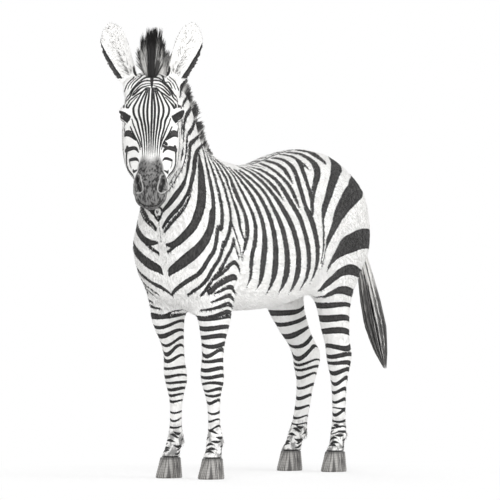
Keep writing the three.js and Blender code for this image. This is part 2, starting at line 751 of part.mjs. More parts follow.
// The forelock: an upright brush between the ears.
function makeForelock() {
  const root = fromHead(FORELOCK.along, FORELOCK.depth - 26, 0);
  const lean = new THREE.Vector3(0, 0, 1).addScaledVector(facing, -0.12).normalize();
  const shape = [[0, 0.62], [0.25, 0.8], [0.5, 1], [0.75, 0.98], [0.92, 0.84], [1, 0.55]];
  const rings = 8;
  const wall = (k, angle) => {
    const t = k / (rings - 1);
    const [share] = readAlong(shape, t);
    return root.clone()
      .addScaledVector(lean, t * (FORELOCK.height + 26))
      .addScaledVector(headSide, share * FORELOCK.width * Math.cos(angle))
      .addScaledVector(facing, share * FORELOCK.depthWise * Math.sin(angle));
  };
  const core = (k) => root.clone().addScaledVector(lean, (k / (rings - 1)) * (FORELOCK.height + 26));
  return solidOf(loft(rings, 12, wall, core));
}

// ---- assembly -----------------------------------------------------------------------------

const COAT = new THREE.MeshStandardMaterial({ color: 0xd9d6cf, roughness: 0.85, metalness: 0 });
const HAIR = new THREE.MeshStandardMaterial({ color: 0x1c1b1a, roughness: 0.8, metalness: 0 });
const HORN = new THREE.MeshStandardMaterial({ color: 0x55524d, roughness: 0.5, metalness: 0 });
const CORNEA = new THREE.MeshStandardMaterial({ color: 0x120d0a, roughness: 0.08, metalness: 0 });

const zebra = new THREE.Group();

function addNode(name, solid, material) {
  const mesh = solid.getMesh();
  const places = new Float32Array(mesh.numVert * 3);
  for (let i = 0; i < mesh.numVert; i += 1) {
    places.set(mesh.vertProperties.subarray(i * mesh.numProp, i * mesh.numProp + 3), i * 3);
  }
  const geometry = new THREE.BufferGeometry();
  geometry.setAttribute('position', new THREE.BufferAttribute(places, 3));
  geometry.setIndex(new THREE.BufferAttribute(mesh.triVerts, 1));
  geometry.computeVertexNormals();
  const node = new THREE.Mesh(geometry, material);
  node.name = name;
  zebra.add(node);
  return node;
}

const grownTrunk = solidOf(trunkNet(GAP));
const grownHead = wholeHead(GAP);
const grownNeck = solidOf(neckNet(GAP));
const tailJoint = new THREE.Vector3(...TAIL_JOINT);
const tailWay = new THREE.Vector3(0.14, 0.12, -0.98).normalize();
const belowJoint = blockBeyond(tailJoint.clone().addScaledVector(tailWay, -GAP / 2), tailWay);
const aboveJoint = blockBeyond(tailJoint.clone().addScaledVector(tailWay, GAP / 2), tailWay.clone().negate());

addNode('trunk', makeTrunk(), COAT);
addNode('neck', makeNeck(grownHead), COAT);
addNode('head', makeHead(), COAT);
for (const [name, side] of [['left', 1], ['right', -1]]) {
  addNode(`eye_${name}`, makeEye(side), CORNEA);
  addNode(`ear_${name}`, largest(makeEar(side).subtract(grownHead).subtract(grownNeck)), COAT);
}
for (const [name, solid] of Object.entries(makeLegs())) {
  addNode(name, solid, name.startsWith('hoof') ? HORN : COAT);
}
const forelock = makeForelock();
const mane = makeMane().subtract(grownTrunk).subtract(grownNeck).subtract(grownHead);
addNode('forelock', largest(forelock.subtract(grownHead).subtract(grownNeck)), HAIR);
addNode('mane', largest(mane.subtract(forelock)), HAIR);
addNode('tail_dock', largest(tube(DOCK, 10, 10).subtract(grownTrunk).subtract(belowJoint)), COAT);
addNode('tail_tuft', largest(tube(TUFT, 10, 10).subtract(aboveJoint)), HAIR);

// The origin is the middle of the animal's outline, on the ground.
const outline = new THREE.Box3().setFromObject(zebra);
const middle = outline.getCenter(new THREE.Vector3());
zebra.position.set(-middle.x, -middle.y, -outline.min.z);

export default zebra;
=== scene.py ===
"""A standing zebra at life size: one skin over its solids, markings, coat, hair, eyes and hooves."""

import logging
import math
from dataclasses import dataclass, field
from enum import Enum

import bmesh
import bpy
import numpy as np
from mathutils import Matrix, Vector
from mathutils.bvhtree import BVHTree


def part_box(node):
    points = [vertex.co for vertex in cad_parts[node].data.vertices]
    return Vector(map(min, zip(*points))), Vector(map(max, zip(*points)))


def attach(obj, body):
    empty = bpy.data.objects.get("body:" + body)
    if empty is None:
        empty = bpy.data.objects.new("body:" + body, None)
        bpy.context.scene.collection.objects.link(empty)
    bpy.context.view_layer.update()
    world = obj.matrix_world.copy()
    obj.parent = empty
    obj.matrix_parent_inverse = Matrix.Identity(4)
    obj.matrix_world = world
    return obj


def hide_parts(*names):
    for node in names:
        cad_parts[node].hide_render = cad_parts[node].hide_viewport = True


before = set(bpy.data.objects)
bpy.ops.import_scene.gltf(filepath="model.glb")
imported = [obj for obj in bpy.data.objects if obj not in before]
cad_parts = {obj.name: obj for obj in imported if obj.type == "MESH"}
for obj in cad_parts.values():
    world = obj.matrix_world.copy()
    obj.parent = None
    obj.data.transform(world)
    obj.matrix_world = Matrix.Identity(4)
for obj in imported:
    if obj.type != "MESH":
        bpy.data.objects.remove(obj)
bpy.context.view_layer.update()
UP = np.array([0.0, 0.0, 1.0])
WHITE = (1.0, 1.0, 1.0)
Array = np.ndarray
log = logging.getLogger("zebra")


# ---- small mathematics ---------------------------------------------------------------------


def unit(vectors: Array) -> Array:
    """Returns the vectors at length one, along the last axis."""
    return vectors / np.maximum(np.linalg.norm(vectors, axis=-1, keepdims=True), 1e-12)


def ease(low: float, high: float, value: Array) -> Array:
    """Returns a smooth step from 0 at low to 1 at high."""
    t = np.clip((value - low) / (high - low), 0.0, 1.0)
    return t * t * (3.0 - 2.0 * t)


def turn_of(x: Array, y: Array) -> Array:
    """Returns the angle from the y axis as a share of a whole turn, 0.5 being along it."""
    return np.arctan2(x, y) / (2 * np.pi) + 0.5


def dot(a: Array, b: Array) -> Array:
    """Returns the dot product along the last axis."""
    return np.sum(a * b, axis=-1)


def curve_through(rows: Array, step: float) -> Array:
    """Runs a smooth curve through rows whose first three columns are a place.

    Args:
        rows: The rows, with any further columns after the place.
        step: The spacing of the samples along the curve, in metres.

    Returns:
        The samples, one row each, with the same columns.
    """
    rows = np.asarray(rows, float)
    padded = np.vstack([2 * rows[0] - rows[1], rows, 2 * rows[-1] - rows[-2]])
    samples = []
    for i in range(1, len(padded) - 2):
        before, a, b, after = padded[i - 1 : i + 3]
        count = max(2, int(np.linalg.norm(b[:3] - a[:3]) / step) + 1)
        t = np.linspace(0, 1, count, endpoint=False)[:, None]
        slope_a, slope_b = (b - before) / 2, (after - a) / 2
        samples.append((2 * t**3 - 3 * t**2 + 1) * a + (t**3 - 2 * t**2 + t) * slope_a
                       + (3 * t**2 - 2 * t**3) * b + (t**3 - t**2) * slope_b)
    samples.append(rows[-1:])
    return np.vstack(samples)


def distance_to(points: Array, path: Array) -> tuple[Array, Array]:
    """Measures points against a path whose fourth column is a half width.

    Args:
        points: The points, one row each.
        path: The path's samples: place and half width.

    Returns:
        How far each point lies inside the path's edge, and its plain distance to the path.
    """
    a, b = path[:-1, :3], path[1:, :3]
    span = b - a
    length2 = np.maximum(dot(span, span), 1e-12)
    inside = np.empty(len(points))
    plain = np.empty(len(points))
    for start in range(0, len(points), 20000):
        block = points[start : start + 20000]
        t = np.clip(((block @ span.T) - dot(a, span)) / length2, 0, 1)
        gap2 = (dot(block, block)[:, None] - 2 * (block @ a.T) + dot(a, a)
                - 2 * t * ((block @ span.T) - dot(a, span)) + t * t * length2)
        gap = np.sqrt(np.maximum(gap2, 0))
        half = path[:-1, 3] * (1 - t) + path[1:, 3] * t
        inside[start : start + 20000] = np.max(half - gap, axis=1)
        plain[start : start + 20000] = np.min(gap, axis=1)
    return inside, plain


# ---- meshes as arrays ----------------------------------------------------------------------


def mesh_from(name: str, points: Array, faces: Array) -> bpy.types.Mesh:
    """Makes a mesh of faces that all have the same number of corners.

    Args:
        name: The mesh's name.
        points: The vertices.
        faces: The vertex numbers, one row for each face.

    Returns:
        The mesh, with smooth shading.
    """
    mesh = bpy.data.meshes.new(name)
    corners = faces.shape[1]
    mesh.vertices.add(len(points))
    mesh.vertices.foreach_set("co", np.asarray(points, np.float32).ravel())
    mesh.loops.add(faces.size)
    mesh.loops.foreach_set("vertex_index", np.asarray(faces, np.int32).ravel())
    mesh.polygons.add(len(faces))
    mesh.polygons.foreach_set("loop_start", np.arange(0, faces.size, corners, dtype=np.int32))
    mesh.polygons.foreach_set("use_smooth", np.ones(len(faces), bool))
    mesh.update(calc_edges=True)
    return mesh


def places_of(mesh: bpy.types.Mesh) -> Array:
    """Returns a mesh's vertices as rows."""
    places = np.empty(len(mesh.vertices) * 3, np.float32)
    mesh.vertices.foreach_get("co", places)
    return places.reshape(-1, 3).astype(float)


def triangles_of(mesh: bpy.types.Mesh) -> Array:
    """Returns a mesh's triangles as rows of vertex numbers.

    Args:
        mesh: The mesh.

    Returns:
        Three vertex numbers for each triangle.
    """
    mesh.calc_loop_triangles()
    corners = np.empty(len(mesh.loop_triangles) * 3, np.int32)
    mesh.loop_triangles.foreach_get("vertices", corners)
    return corners.reshape(-1, 3)


def write_attribute(mesh: bpy.types.Mesh, name: str, values: Array) -> None:
    """Writes one number, or one vector, for each vertex."""
    kind, key = ("FLOAT", "value") if values.ndim == 1 else ("FLOAT_VECTOR", "vector")
    layer = mesh.attributes.get(name) or mesh.attributes.new(name, kind, "POINT")
    layer.data.foreach_set(key, np.asarray(values, np.float32).ravel())


def link(name: str, mesh: bpy.types.Mesh) -> bpy.types.Object:
    """Puts a mesh into the scene as an object."""
    made = bpy.data.objects.new(name, mesh)
    bpy.context.scene.collection.objects.link(made)
    return made


def evaluated(made: bpy.types.Object) -> bpy.types.Mesh:
    """Returns the object's mesh with its modifiers applied, and removes the object.

    Args:
        made: The object.

    Returns:
        The finished mesh.
    """
    graph = bpy.context.evaluated_depsgraph_get()
    mesh = bpy.data.meshes.new_from_object(made.evaluated_get(graph))
    bpy.data.objects.remove(made)
    return mesh


def dress(made: bpy.types.Object, material: bpy.types.Material, slot: str, *nodes: str) -> None:
    """Gives a piece its material, its body and the solids that it stands for.

    Args:
        made: The piece.
        material: Its material.
        slot: Not used.
        *nodes: The solids that it replaces.
    """
    made.data.materials.clear()
    made.data.materials.append(material)
    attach(made, "root")
    if nodes:
        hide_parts(*nodes)
    log.info("%s: %d triangles", made.name, len(triangles_of(made.data)))


def middle_of(node: str) -> Array:
    """Returns the middle of a solid's box."""
    low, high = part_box(node)
    return np.array((low + high) / 2)


# ---- the regions and their own frames ------------------------------------------------------


class Region(Enum):
    """The regions of the skin, each with the solids that it comes from."""

    TRUNK = ("trunk",)
    NECK = ("neck",)
    HEAD = ("head", "eye_left", "eye_right")
    EARS = ("ear_left", "ear_right")
    FORE_LEFT = ("leg_fore_left_upper", "leg_fore_left_lower")
    FORE_RIGHT = ("leg_fore_right_upper", "leg_fore_right_lower")
    HIND_LEFT = ("leg_hind_left_upper", "leg_hind_left_lower")
    HIND_RIGHT = ("leg_hind_right_upper", "leg_hind_right_lower")
    TAIL = ("tail_dock",)


class Chart(Enum):
    """The charts of places on the skin, each with its two measures."""

    FLANK = "place along the body, height"
    BARREL = "angle from the spine, place along the body"
    COLUMN = "angle from the crest, height"
    FACE = "side, place along the face"
    FRONT = "side, height"
    CHEEK = "angle from the ridge, place along the face"

    def rows(self, *rows: tuple) -> tuple:
        """Returns rows on this chart in metres and degrees.

        Args:
            *rows: Two measures and, for a band, its width, in millimetres and degrees.

        Returns:
            The chart, the measures and the width, one row for each place.
        """
        first = 1 if self.value.startswith("angle") else 1000
        return tuple((self, u / first, *(value / 1000 for value in rest)) for u, *rest in rows)


REGIONS = list(Region)
LEGS = (Region.FORE_LEFT, Region.FORE_RIGHT, Region.HIND_LEFT, Region.HIND_RIGHT)


@dataclass
class Lid:
    """An eye's opening: an almond over the ball, its inner corner low and toward the nose.

    Attributes:
        eye: The middle of the eyeball.
        radius: Its radius.
        out: The way the eye looks.
        across: The way to the inner corner.
        upper: The way to the upper lid.
        length: Half the opening's length, in eyeball radii.
        height: Half its height, in eyeball radii.
        thick: How far the lid's skin lies over the ball.
    """

    eye: Array
    radius: float
    out: Array
    across: Array
    upper: Array
    length: float = 0.90
    height: float = 0.43
    thick: float = 0.0030

    def measure(self, points: Array) -> tuple[Array, Array, tuple]:
        """Measures points round the eye.

        Args:
            points: The points.

        Returns:
            How far each lies inside the opening in eyeball radii, its distance to the ball's
            middle, and its direction from there in the eye's own frame.
        """
        offset = points - self.eye
        reach = np.linalg.norm(offset, axis=1)
        way = unit(offset)
        a, b, o = way @ self.across, way @ self.upper, way @ self.out
        arch = self.height * np.sqrt(np.clip(1 - (a / self.length) ** 2, 0, 1))
        over = arch * (1.0 + 0.12 * a) - b
        under = b + arch * (0.86 - 0.10 * a)
        slit = np.minimum(np.minimum(over, under), self.length - np.abs(a))
        slit = np.where(o > 0, slit, -1.0)
        return slit, reach, (a, b, o)


@dataclass
class Ear:
    """An ear's own frame: its root, its axis, the way it opens, and its outline.

    Attributes:
        root: The middle of its root.
        axis: The way it stands.
        opens: The way its hollow looks.
        sign: 1 for the left ear and -1 for the right.
        length: Its length.
        outline: Half its width at shares of its length.
    """

    root: Array
    axis: Array
    opens: Array
    sign: int
    length: float = 0.286
    outline: tuple = ((0, 0.026), (0.12, 0.034), (0.3, 0.047), (0.5, 0.055), (0.68, 0.058),
                      (0.84, 0.049), (0.95, 0.031), (1, 0.011))

    def left(self) -> Array:
        """Returns the way across the ear, to the left."""
        side = np.cross(self.axis, self.opens)
        return side * np.sign(side[0])

    def half_at(self, share: Array) -> Array:
        """Returns the ear's half width at a share of its length."""
        return np.interp(share, *zip(*self.outline))

    def measure(self, points: Array, normals: Array) -> tuple[Array, Array, Array]:
        """Measures points on the ear.

        Args:
            points: The points.
            normals: Their normals.

        Returns:
            Their share of the ear's length, their distance to the side of its axis, and 1 inside
            the ear or -1 behind it.
        """
        offset = points - self.root
        return offset @ self.axis / self.length, offset @ self.left(), np.sign(normals @ self.opens)


@dataclass
class Head:
    """The head's frame, found from the two eyes: along the face, out of the face, and to its left.

    Attributes:
        dip: How far the face slopes down.
        eye_along: How far down the face the eyes lie.
        eye_depth: How far they lie over the frame's middle.
        eyes: The middles of the two eyes.
    """

    dip: float = math.radians(53)
    eye_along: float = 0.165
    eye_depth: float = -0.052
    eyes: list = field(default_factory=list)

    def __post_init__(self) -> None:
        """Works the frame out from the eyes' solids."""
        left, right = middle_of("eye_left"), middle_of("eye_right")
        self.eyes = [left, right]
        self.side = unit(left - right)
        self.facing = np.array([self.side[1], -self.side[0], 0.0])
        self.along = self.facing * math.cos(self.dip) - UP * math.sin(self.dip)
        self.depth = self.facing * math.sin(self.dip) + UP * math.cos(self.dip)
        self.origin = (left + right) / 2 - self.along * self.eye_along - self.depth * self.eye_depth
        low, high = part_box("eye_left")
        self.eye_radius = (high.z - low.z) / 2
        self.lids = [self.lid(sign, eye) for sign, eye in zip((1, -1), self.eyes)]
        self.ears = [self.ear(sign) for sign in (1, -1)]

    def lid(self, sign: int, eye: Array) -> Lid:
        """Returns the opening of one eye.

        Args:
            sign: 1 for the left eye and -1 for the right.
            eye: The middle of its ball.

        Returns:
            The opening.
        """
        out = unit(self.side * sign * 0.50 + self.facing * 0.86 - UP * 0.02)
        across = -self.side * sign * 0.80 - UP * 0.46 + self.facing * 0.34
        across = unit(across - out * dot(across, out))
        upper = np.cross(out, across)
        return Lid(eye, self.eye_radius, out, across, upper * np.sign(upper[2]))

    def ear(self, sign: int) -> Ear:
        """Returns the frame of one ear.

        Args:
            sign: 1 for the left ear and -1 for the right.

        Returns:
            The ear's frame.
        """
        axis = unit(UP + self.side * sign * 0.38 + self.facing * 0.05)
        opens = self.facing + self.side * sign * 0.3
        opens = unit(opens - axis * dot(opens, axis))
        return Ear(self.place(0.014, -0.034, 0.075 * sign), axis, opens, sign)

    def place(self, along: float, depth: float, side: float) -> Array:
        """Returns a place given in the head's frame."""
        return self.origin + self.along * along + self.depth * depth + self.side * side

    def local(self, points: Array) -> Array:
        """Returns points as rows of along, depth and side."""
        offset = points - self.origin
        return np.stack([offset @ self.along, offset @ self.depth, offset @ self.side], -1)


@dataclass
class Core:
    """The centre line of a limb, found from the slices of its solids.

    Attributes:
        nodes: The limb's solids.
        slice_height: Half the height of a slice.
    """

    nodes: tuple[str, ...]
    slice_height: float = 0.03

    def __post_init__(self) -> None:
        """Averages the solids' vertices over the height."""
        points = np.vstack([places_of(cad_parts[n].data) for n in self.nodes])
        low, high = points[:, 2].min(), points[:, 2].max()
        self.heights = np.linspace(low, high, max(3, int((high - low) / self.slice_height)))
        rows = []
        for z in self.heights:
            near = points[np.abs(points[:, 2] - z) < self.slice_height]
            rows.append((near.min(0) + near.max(0))[:2] / 2)
        self.rows = np.array(rows)

    def at(self, z: Array) -> Array:
        """Returns the centre, x and y, at any height."""
        return np.stack([np.interp(z, self.heights, self.rows[:, k]) for k in (0, 1)], -1)


# The height of the barrel's axis, and the heights and places of the neck's, in metres.
BARREL_HEIGHT = 0.96
COLUMN_AXIS = ((0.75, -0.30), (1.0, -0.38), (1.55, -0.56))


def column_centre(z: Array) -> Array:
    """Returns how far back the middle of the neck and breast lies, at a height."""
    heights, backs = zip(*COLUMN_AXIS)
    return np.interp(z, heights, backs)


# ---- the skin ------------------------------------------------------------------------------


@dataclass
class Skin:
    """One closed skin over all the flesh, with the folds and forms that the solids leave out.

    Attributes:
        head: The head's frame.
        voxel: The grain of the cast.
        overlap: How far the solids grow so that they meet.
        rounds: How often the facets are evened out.
        votes: How often a vertex asks its neighbours for its region.
        body_share: The share of faces that the trunk and neck keep.
        longest: The longest edge that stays whole.
        depths: How far each region lies under the coat.
        softness: How far each region's facets are rounded off.
    """

    head: Head
    voxel: float = 0.004
    overlap: float = 0.0009
    rounds: int = 40
    votes: int = 5
    body_share: float = 0.26
    longest: float = 0.0090
    depths: dict = field(default_factory=lambda: {
        Region.TRUNK: 0.0030, Region.NECK: 0.0030, Region.HEAD: 0.0012, Region.EARS: 0.0004,
        Region.TAIL: 0.0025, **{leg: 0.0014 for leg in LEGS}})
    softness: dict = field(default_factory=lambda: {
        Region.TRUNK: 1.0, Region.NECK: 1.0, Region.HEAD: 0.3, Region.EARS: 0.06,
        Region.TAIL: 0.4, **{leg: 0.45 for leg in LEGS}})

    def build(self) -> bpy.types.Object:
        """Makes the skin's mesh.

        Returns:
            The skin's object.
        """
        self.mesh = self.cast_flesh()
        self.refine()
        self.read()
        self.relax()
        self.sculpt()
        self.thin_out()
        self.read()
        self.object = link("skin", self.mesh)
        return self.object

    def cast_flesh(self) -> bpy.types.Mesh:
        """Joins the solids of the flesh and casts them as one surface.

        Returns:
            The surface, in fine facets.
        """
        joined = bmesh.new()
        for region in REGIONS:
            for node in region.value:
                part = bmesh.new()
                part.from_mesh(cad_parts[node].data)
                bmesh.ops.remove_doubles(part, verts=part.verts, dist=1e-5)
                part.normal_update()
                for vertex in part.verts:
                    vertex.co += vertex.normal * self.overlap
                grown = bpy.data.meshes.new("part")
                part.to_mesh(grown)
                joined.from_mesh(grown)
                part.free()
        mesh = bpy.data.meshes.new("flesh")
        joined.to_mesh(mesh)
        joined.free()
        flesh = link("flesh", mesh)
        remesh = flesh.modifiers.new("cast", "REMESH")
        remesh.mode, remesh.voxel_size = "VOXEL", self.voxel
        return evaluated(flesh)

    def refine(self) -> None:
        """Splits the faces finer round the eyes, nostrils and lips."""
        head = self.head
        fine = [(eye, 0.046) for eye in head.eyes]
        fine += [(head.place(0.515, -0.05, 0.052 * s), 0.046) for s in (1, -1)]
        fine += [(head.place(0.535, -0.12, 0.03 * s), 0.05) for s in (1, -1)]
        fine += [(head.place(along, 0.0, 0.0), 0.13 - 0.12 * along)
                 for along in (0.08, 0.16, 0.24, 0.32)]
        work = bmesh.new()
        work.from_mesh(self.mesh)
        places = places_of(self.mesh)
        near = np.zeros(len(places), bool)
        for centre, reach in fine:
            near |= np.linalg.norm(places - centre, axis=1) < reach
        chosen = [e for e in work.edges if near[e.verts[0].index] and near[e.verts[1].index]]
        bmesh.ops.subdivide_edges(work, edges=chosen, cuts=1, use_grid_fill=True, smooth=0)
        bmesh.ops.triangulate(work, faces=[f for f in work.faces if len(f.verts) > 4])
        work.to_mesh(self.mesh)
        work.free()

    def read(self) -> None:
        """Reads the mesh into arrays and finds each vertex's region."""
        mesh = self.mesh
        self.places = places_of(mesh)
        edges = np.empty(len(mesh.edges) * 2, np.int32)
        mesh.edges.foreach_get("vertices", edges)
        self.edges = edges.reshape(-1, 2)
        self.degree = np.bincount(self.edges.ravel(), minlength=len(self.places)).astype(float)
        self.triangles = triangles_of(mesh)
        self.find_normals()
        points, faces, owners, count = [], [], [], 0
        for number, region in enumerate(REGIONS):
            for node in region.value:
                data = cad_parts[node].data
                points.append(places_of(data))
                faces.append(triangles_of(data) + count)
                owners.append(np.full(len(faces[-1]), number))
                count += len(points[-1])
        owners = np.concatenate(owners)
        tree = BVHTree.FromPolygons(np.vstack(points).tolist(), np.vstack(faces).tolist())
        self.region = np.array([owners[tree.find_nearest(p)[2]] for p in self.places.tolist()])
        shares = np.stack([self.region == number for number in range(len(REGIONS))], -1).astype(float)
        for _ in range(self.votes):
            shares = self.spread(shares)
        self.region = shares.argmax(axis=1)

    def own(self, *regions: Region) -> Array:
        """Returns which vertices belong to some of the regions."""
        return np.isin(self.region, [REGIONS.index(region) for region in regions])

    def spread(self, values: Array) -> Array:
        """Returns the mean of each vertex's neighbours.

        Args:
            values: One number, or one row of numbers, for each vertex.

        Returns:
            The means, in the same shape.
        """
        a, b = self.edges[:, 0], self.edges[:, 1]
        count = len(self.places)
        if values.ndim == 1:
            total = (np.bincount(a, values[b], count) + np.bincount(b, values[a], count))
            return total / self.degree
        return np.stack([self.spread(values[:, k]) for k in range(values.shape[1])], -1)

    def find_normals(self) -> None:
        """Works out the vertex normals from the triangles."""
        a, b, c = (self.places[self.triangles[:, k]] for k in range(3))
        face = np.cross(b - a, c - a)
        total = np.zeros_like(self.places)
        for k in range(3):
            for axis in range(3):
                total[:, axis] += np.bincount(self.triangles[:, k], face[:, axis], len(self.places))
        self.normals = unit(total)

    def by_region(self, table: dict, rounds: int = 12) -> Array:
        """Returns a number for each vertex from a table by region, evened out where regions meet.

        Args:
            table: A number for each region.
            rounds: How often the numbers are evened out.

        Returns:
            A number for each vertex.
        """
        values = np.array([table[region] for region in REGIONS])[self.region]
        for _ in range(rounds):
            values = self.spread(values)
        return values

    def relax(self) -> None:
        """Rounds the solids' facets off without thinning the limbs, then sinks under the coat."""
        weight = self.by_region(self.softness, 8)[:, None]
        wanted, shape = self.places, np.zeros_like(self.places)
        for _ in range(3):
            rest = wanted - shape
            for _ in range(self.rounds):
                rest = rest + weight * (self.spread(rest) - rest)
            shape = shape + rest
        self.places = shape
        self.find_normals()
        self.places -= self.normals * (self.by_region(self.depths) + self.overlap)[:, None]

    def press(self, path: Array, reach: float, height: float, mask: Array | None = None) -> None:
        """Raises, or for a height below 0 sinks, the skin along a path.

        Args:
            path: The places that the form runs through.
            reach: How far it fades out.
            height: Its height in the middle.
            mask: A share for each vertex, if only some of them move.
        """
        path = np.asarray(path, float)
        if len(path) > 1:
            path = curve_through(path, reach / 2)
        else:
            path = np.vstack([path, path + 1e-5])
        low, high = path.min(0) - 2.4 * reach, path.max(0) + 2.4 * reach
        near = np.nonzero(np.all((self.places > low) & (self.places < high), axis=1))[0]
        _, gap = distance_to(self.places[near], np.hstack([path, np.zeros((len(path), 1))]))
        share = np.exp(-((gap / reach) ** 2)) * height
        if mask is not None:
            share = share * mask[near]
        self.places[near] += self.normals[near] * share[:, None]

    def sculpt(self) -> None:
        """Models the face, the folds and the sinews."""
        self.find_normals()
        self.model_lids()
        self.model_muzzle()
        self.model_face()
        self.model_body()
        self.model_legs()
        self.find_normals()

    def model_lids(self) -> None:
        """Draws the lids over the eyeballs, and opens them in an almond."""
        for lid in self.head.lids:
            radius = lid.radius
            slit, reach, (_, b, o) = lid.measure(self.places)
            open_share = ease(-0.02, 0.08, slit)
            cover = radius + lid.thick + 0.0016 * ease(0.25, 0.0, np.abs(slit)) * (b > 0)
            fold = np.exp(-(((slit + 0.30) / 0.07) ** 2)) * 0.0022 * (b > -0.2)
            wanted = (cover - fold) * (1 - open_share) + (radius - lid.thick) * open_share
            hold = ease(-0.10, 0.20, o) * ease(1.55, 1.15, reach / radius) * (reach < radius * 1.6)
            way = unit(self.places - lid.eye)
            self.places += way * ((wanted - reach) * hold)[:, None]
        self.find_normals()

    def model_muzzle(self) -> None:
        """Opens the nostrils and draws the lips, chin and their folds."""
        head, cast = self.head, Places(self)
        for sign in (1, -1):
            comma, rim, lip = (cast.path(rows, sign)[:, :3] for rows in (NOSTRIL, NOSTRIL_RIM, MOUTH))
            self.find_normals()
            self.press(rim, 0.0060, 0.0040)
            self.press(comma, 0.0075, -0.012)
            self.find_normals()
            self.press(comma - head.depth * 0.008, 0.0050, -0.010)
            self.find_normals()
            self.press(lip, 0.0036, -0.0052)
            self.press(lip + UP * 0.011, 0.007, 0.0020)
            self.press(lip - UP * 0.009, 0.006, 0.0020)
        self.press(cast.path(face((0, 545), (0, 570))), 0.0045, -0.0022)
        self.press([head.place(0.548, -0.138, -0.012), head.place(0.548, -0.138, 0.012)],
                   0.010, 0.003)

    def model_face(self) -> None:
        """Models the hollows and ridges of the face."""
        head = self.head
        for sign in (1, -1):
            forms = [
                ([(0.225, -0.052, 0.098), (0.30, -0.062, 0.079), (0.36, -0.070, 0.064)],
                 0.010, 0.0040),
                ([(0.24, -0.030, 0.070), (0.33, -0.040, 0.050), (0.42, -0.050, 0.046)], 0.018, -0.0040),
                ([(0.195, -0.060, 0.112), (0.215, -0.040, 0.096)], 0.007, -0.0022),
                ([(0.205, -0.085, 0.115), (0.232, -0.062, 0.100)], 0.008, 0.0020),
                ([(0.105, -0.060, 0.098), (0.120, -0.035, 0.088)], 0.016, -0.0050),
                ([(0.118, -0.016, 0.060), (0.135, -0.024, 0.088), (0.160, -0.040, 0.104)],
                 0.010, 0.0030),
                ([(0.26, -0.165, 0.062), (0.33, -0.150, 0.056), (0.40, -0.132, 0.052)], 0.010, -0.0030),
                ([(0.15, -0.205, 0.080), (0.22, -0.205, 0.066), (0.28, -0.185, 0.056)], 0.012, 0.0030),
                ([(0.43, -0.085, 0.062), (0.455, -0.100, 0.062)], 0.009, -0.0026),
            ]
            for path, reach, height in forms:
                self.press([head.place(a, d, s * sign) for a, d, s in path], reach, height)

    def model_body(self) -> None:
        """Models the folds of the breast, armpits and flanks, and the lie of the big muscles."""
        self.find_normals()
        cast = Places(self)
        for sign in (1, -1):
            forms = [
                (column((178, 1020), (178, 900), (177, 800), (177, 740)), 0.016, -0.0045),
                (column((166, 1000), (163, 900), (166, 820)), 0.030, 0.0040),
                (column((150, 1320), (146, 1200), (140, 1100), (132, 1020)), 0.016, -0.0050),
                (column((152, 760), (146, 710), (140, 670)), 0.008, -0.0040),
                (column((160, 760), (154, 710), (148, 670)), 0.008, -0.0035),
                (column((166, 750), (162, 700)), 0.008, -0.0030),
                (flank((-300, 1160), (-310, 1000), (-290, 860)), 0.022, -0.0050),
                (flank((-300, 800), (-335, 740), (-350, 680)), 0.012, -0.0060),
                (flank((235, 1120), (245, 980), (262, 860), (300, 770)), 0.020, -0.0060),
                (flank((280, 800), (320, 755), (370, 720)), 0.012, 0.0050),
                (flank((340, 1220), (420, 1200), (500, 1120)), 0.030, 0.0035),
                (flank((550, 1050), (570, 920), (560, 800)), 0.022, -0.0045),
                (flank((420, 860), (460, 740), (490, 640)), 0.030, 0.0040),
            ]
            for rib in range(7):
                y = 52 * rib - 160
                forms.append((flank((y, 1060), (y + 25, 930), (y + 50, 800)), 0.013, 0.0011))
            for rows, reach, height in forms:
                self.press(cast.path(rows, sign), reach, height)
        self.press(cast.path(column((180, 1080), (180, 1050), (180, 1020))), 0.020, 0.0080)

    def model_legs(self) -> None:
        """Models the joints, the sinews and the hollows beside them."""
        self.find_normals()
        cast = Places(self)
        fore = [
            ([(0.455, 40), (0.425, 35)], 0.018, 0.0035), ([(0.455, -35), (0.425, -35)], 0.018, 0.0030),
            ([(0.40, 0), (0.385, 0)], 0.018, 0.0030), ([(0.445, 180), (0.415, 180)], 0.014, 0.0060),
            ([(0.36, 128), (0.27, 128), (0.19, 128)], 0.008, -0.0034),
            ([(0.36, -128), (0.27, -128), (0.19, -128)], 0.008, -0.0034),
            ([(0.62, 15), (0.50, 12)], 0.014, 0.0022), ([(0.62, 60), (0.50, 70)], 0.009, -0.0022),
        ]
        hind = [
            ([(0.60, 150), (0.53, 150), (0.48, 145)], 0.012, -0.0060),
            ([(0.60, -150), (0.53, -150), (0.48, -145)], 0.012, -0.0060),
            ([(0.49, 180), (0.465, 180)], 0.016, 0.0040), ([(0.43, 60), (0.40, 50)], 0.016, 0.0030),
            ([(0.37, 128), (0.27, 128), (0.19, 128)], 0.008, -0.0034),
            ([(0.37, -128), (0.27, -128), (0.19, -128)], 0.008, -0.0034),
            ([(0.44, 0), (0.40, 0)], 0.013, -0.0020), ([(0.58, 20), (0.50, 10)], 0.012, 0.0020),
        ]
        both = [
            ([(0.165, 180), (0.150, 180)], 0.012, 0.0050), ([(0.155, 90), (0.145, 90)], 0.013, 0.0020),
            ([(0.128, 0), (0.118, 0)], 0.013, -0.0016),
            ([(0.095, 150), (0.092, 0), (0.095, -150)], 0.005, 0.0016),
        ]
        for leg in LEGS:
            forms = (fore if leg in LEGS[:2] else hind) + both
            for path, reach, height in forms:
                self.press([cast.on_leg(leg, z, angle) for z, angle in path], reach, height)

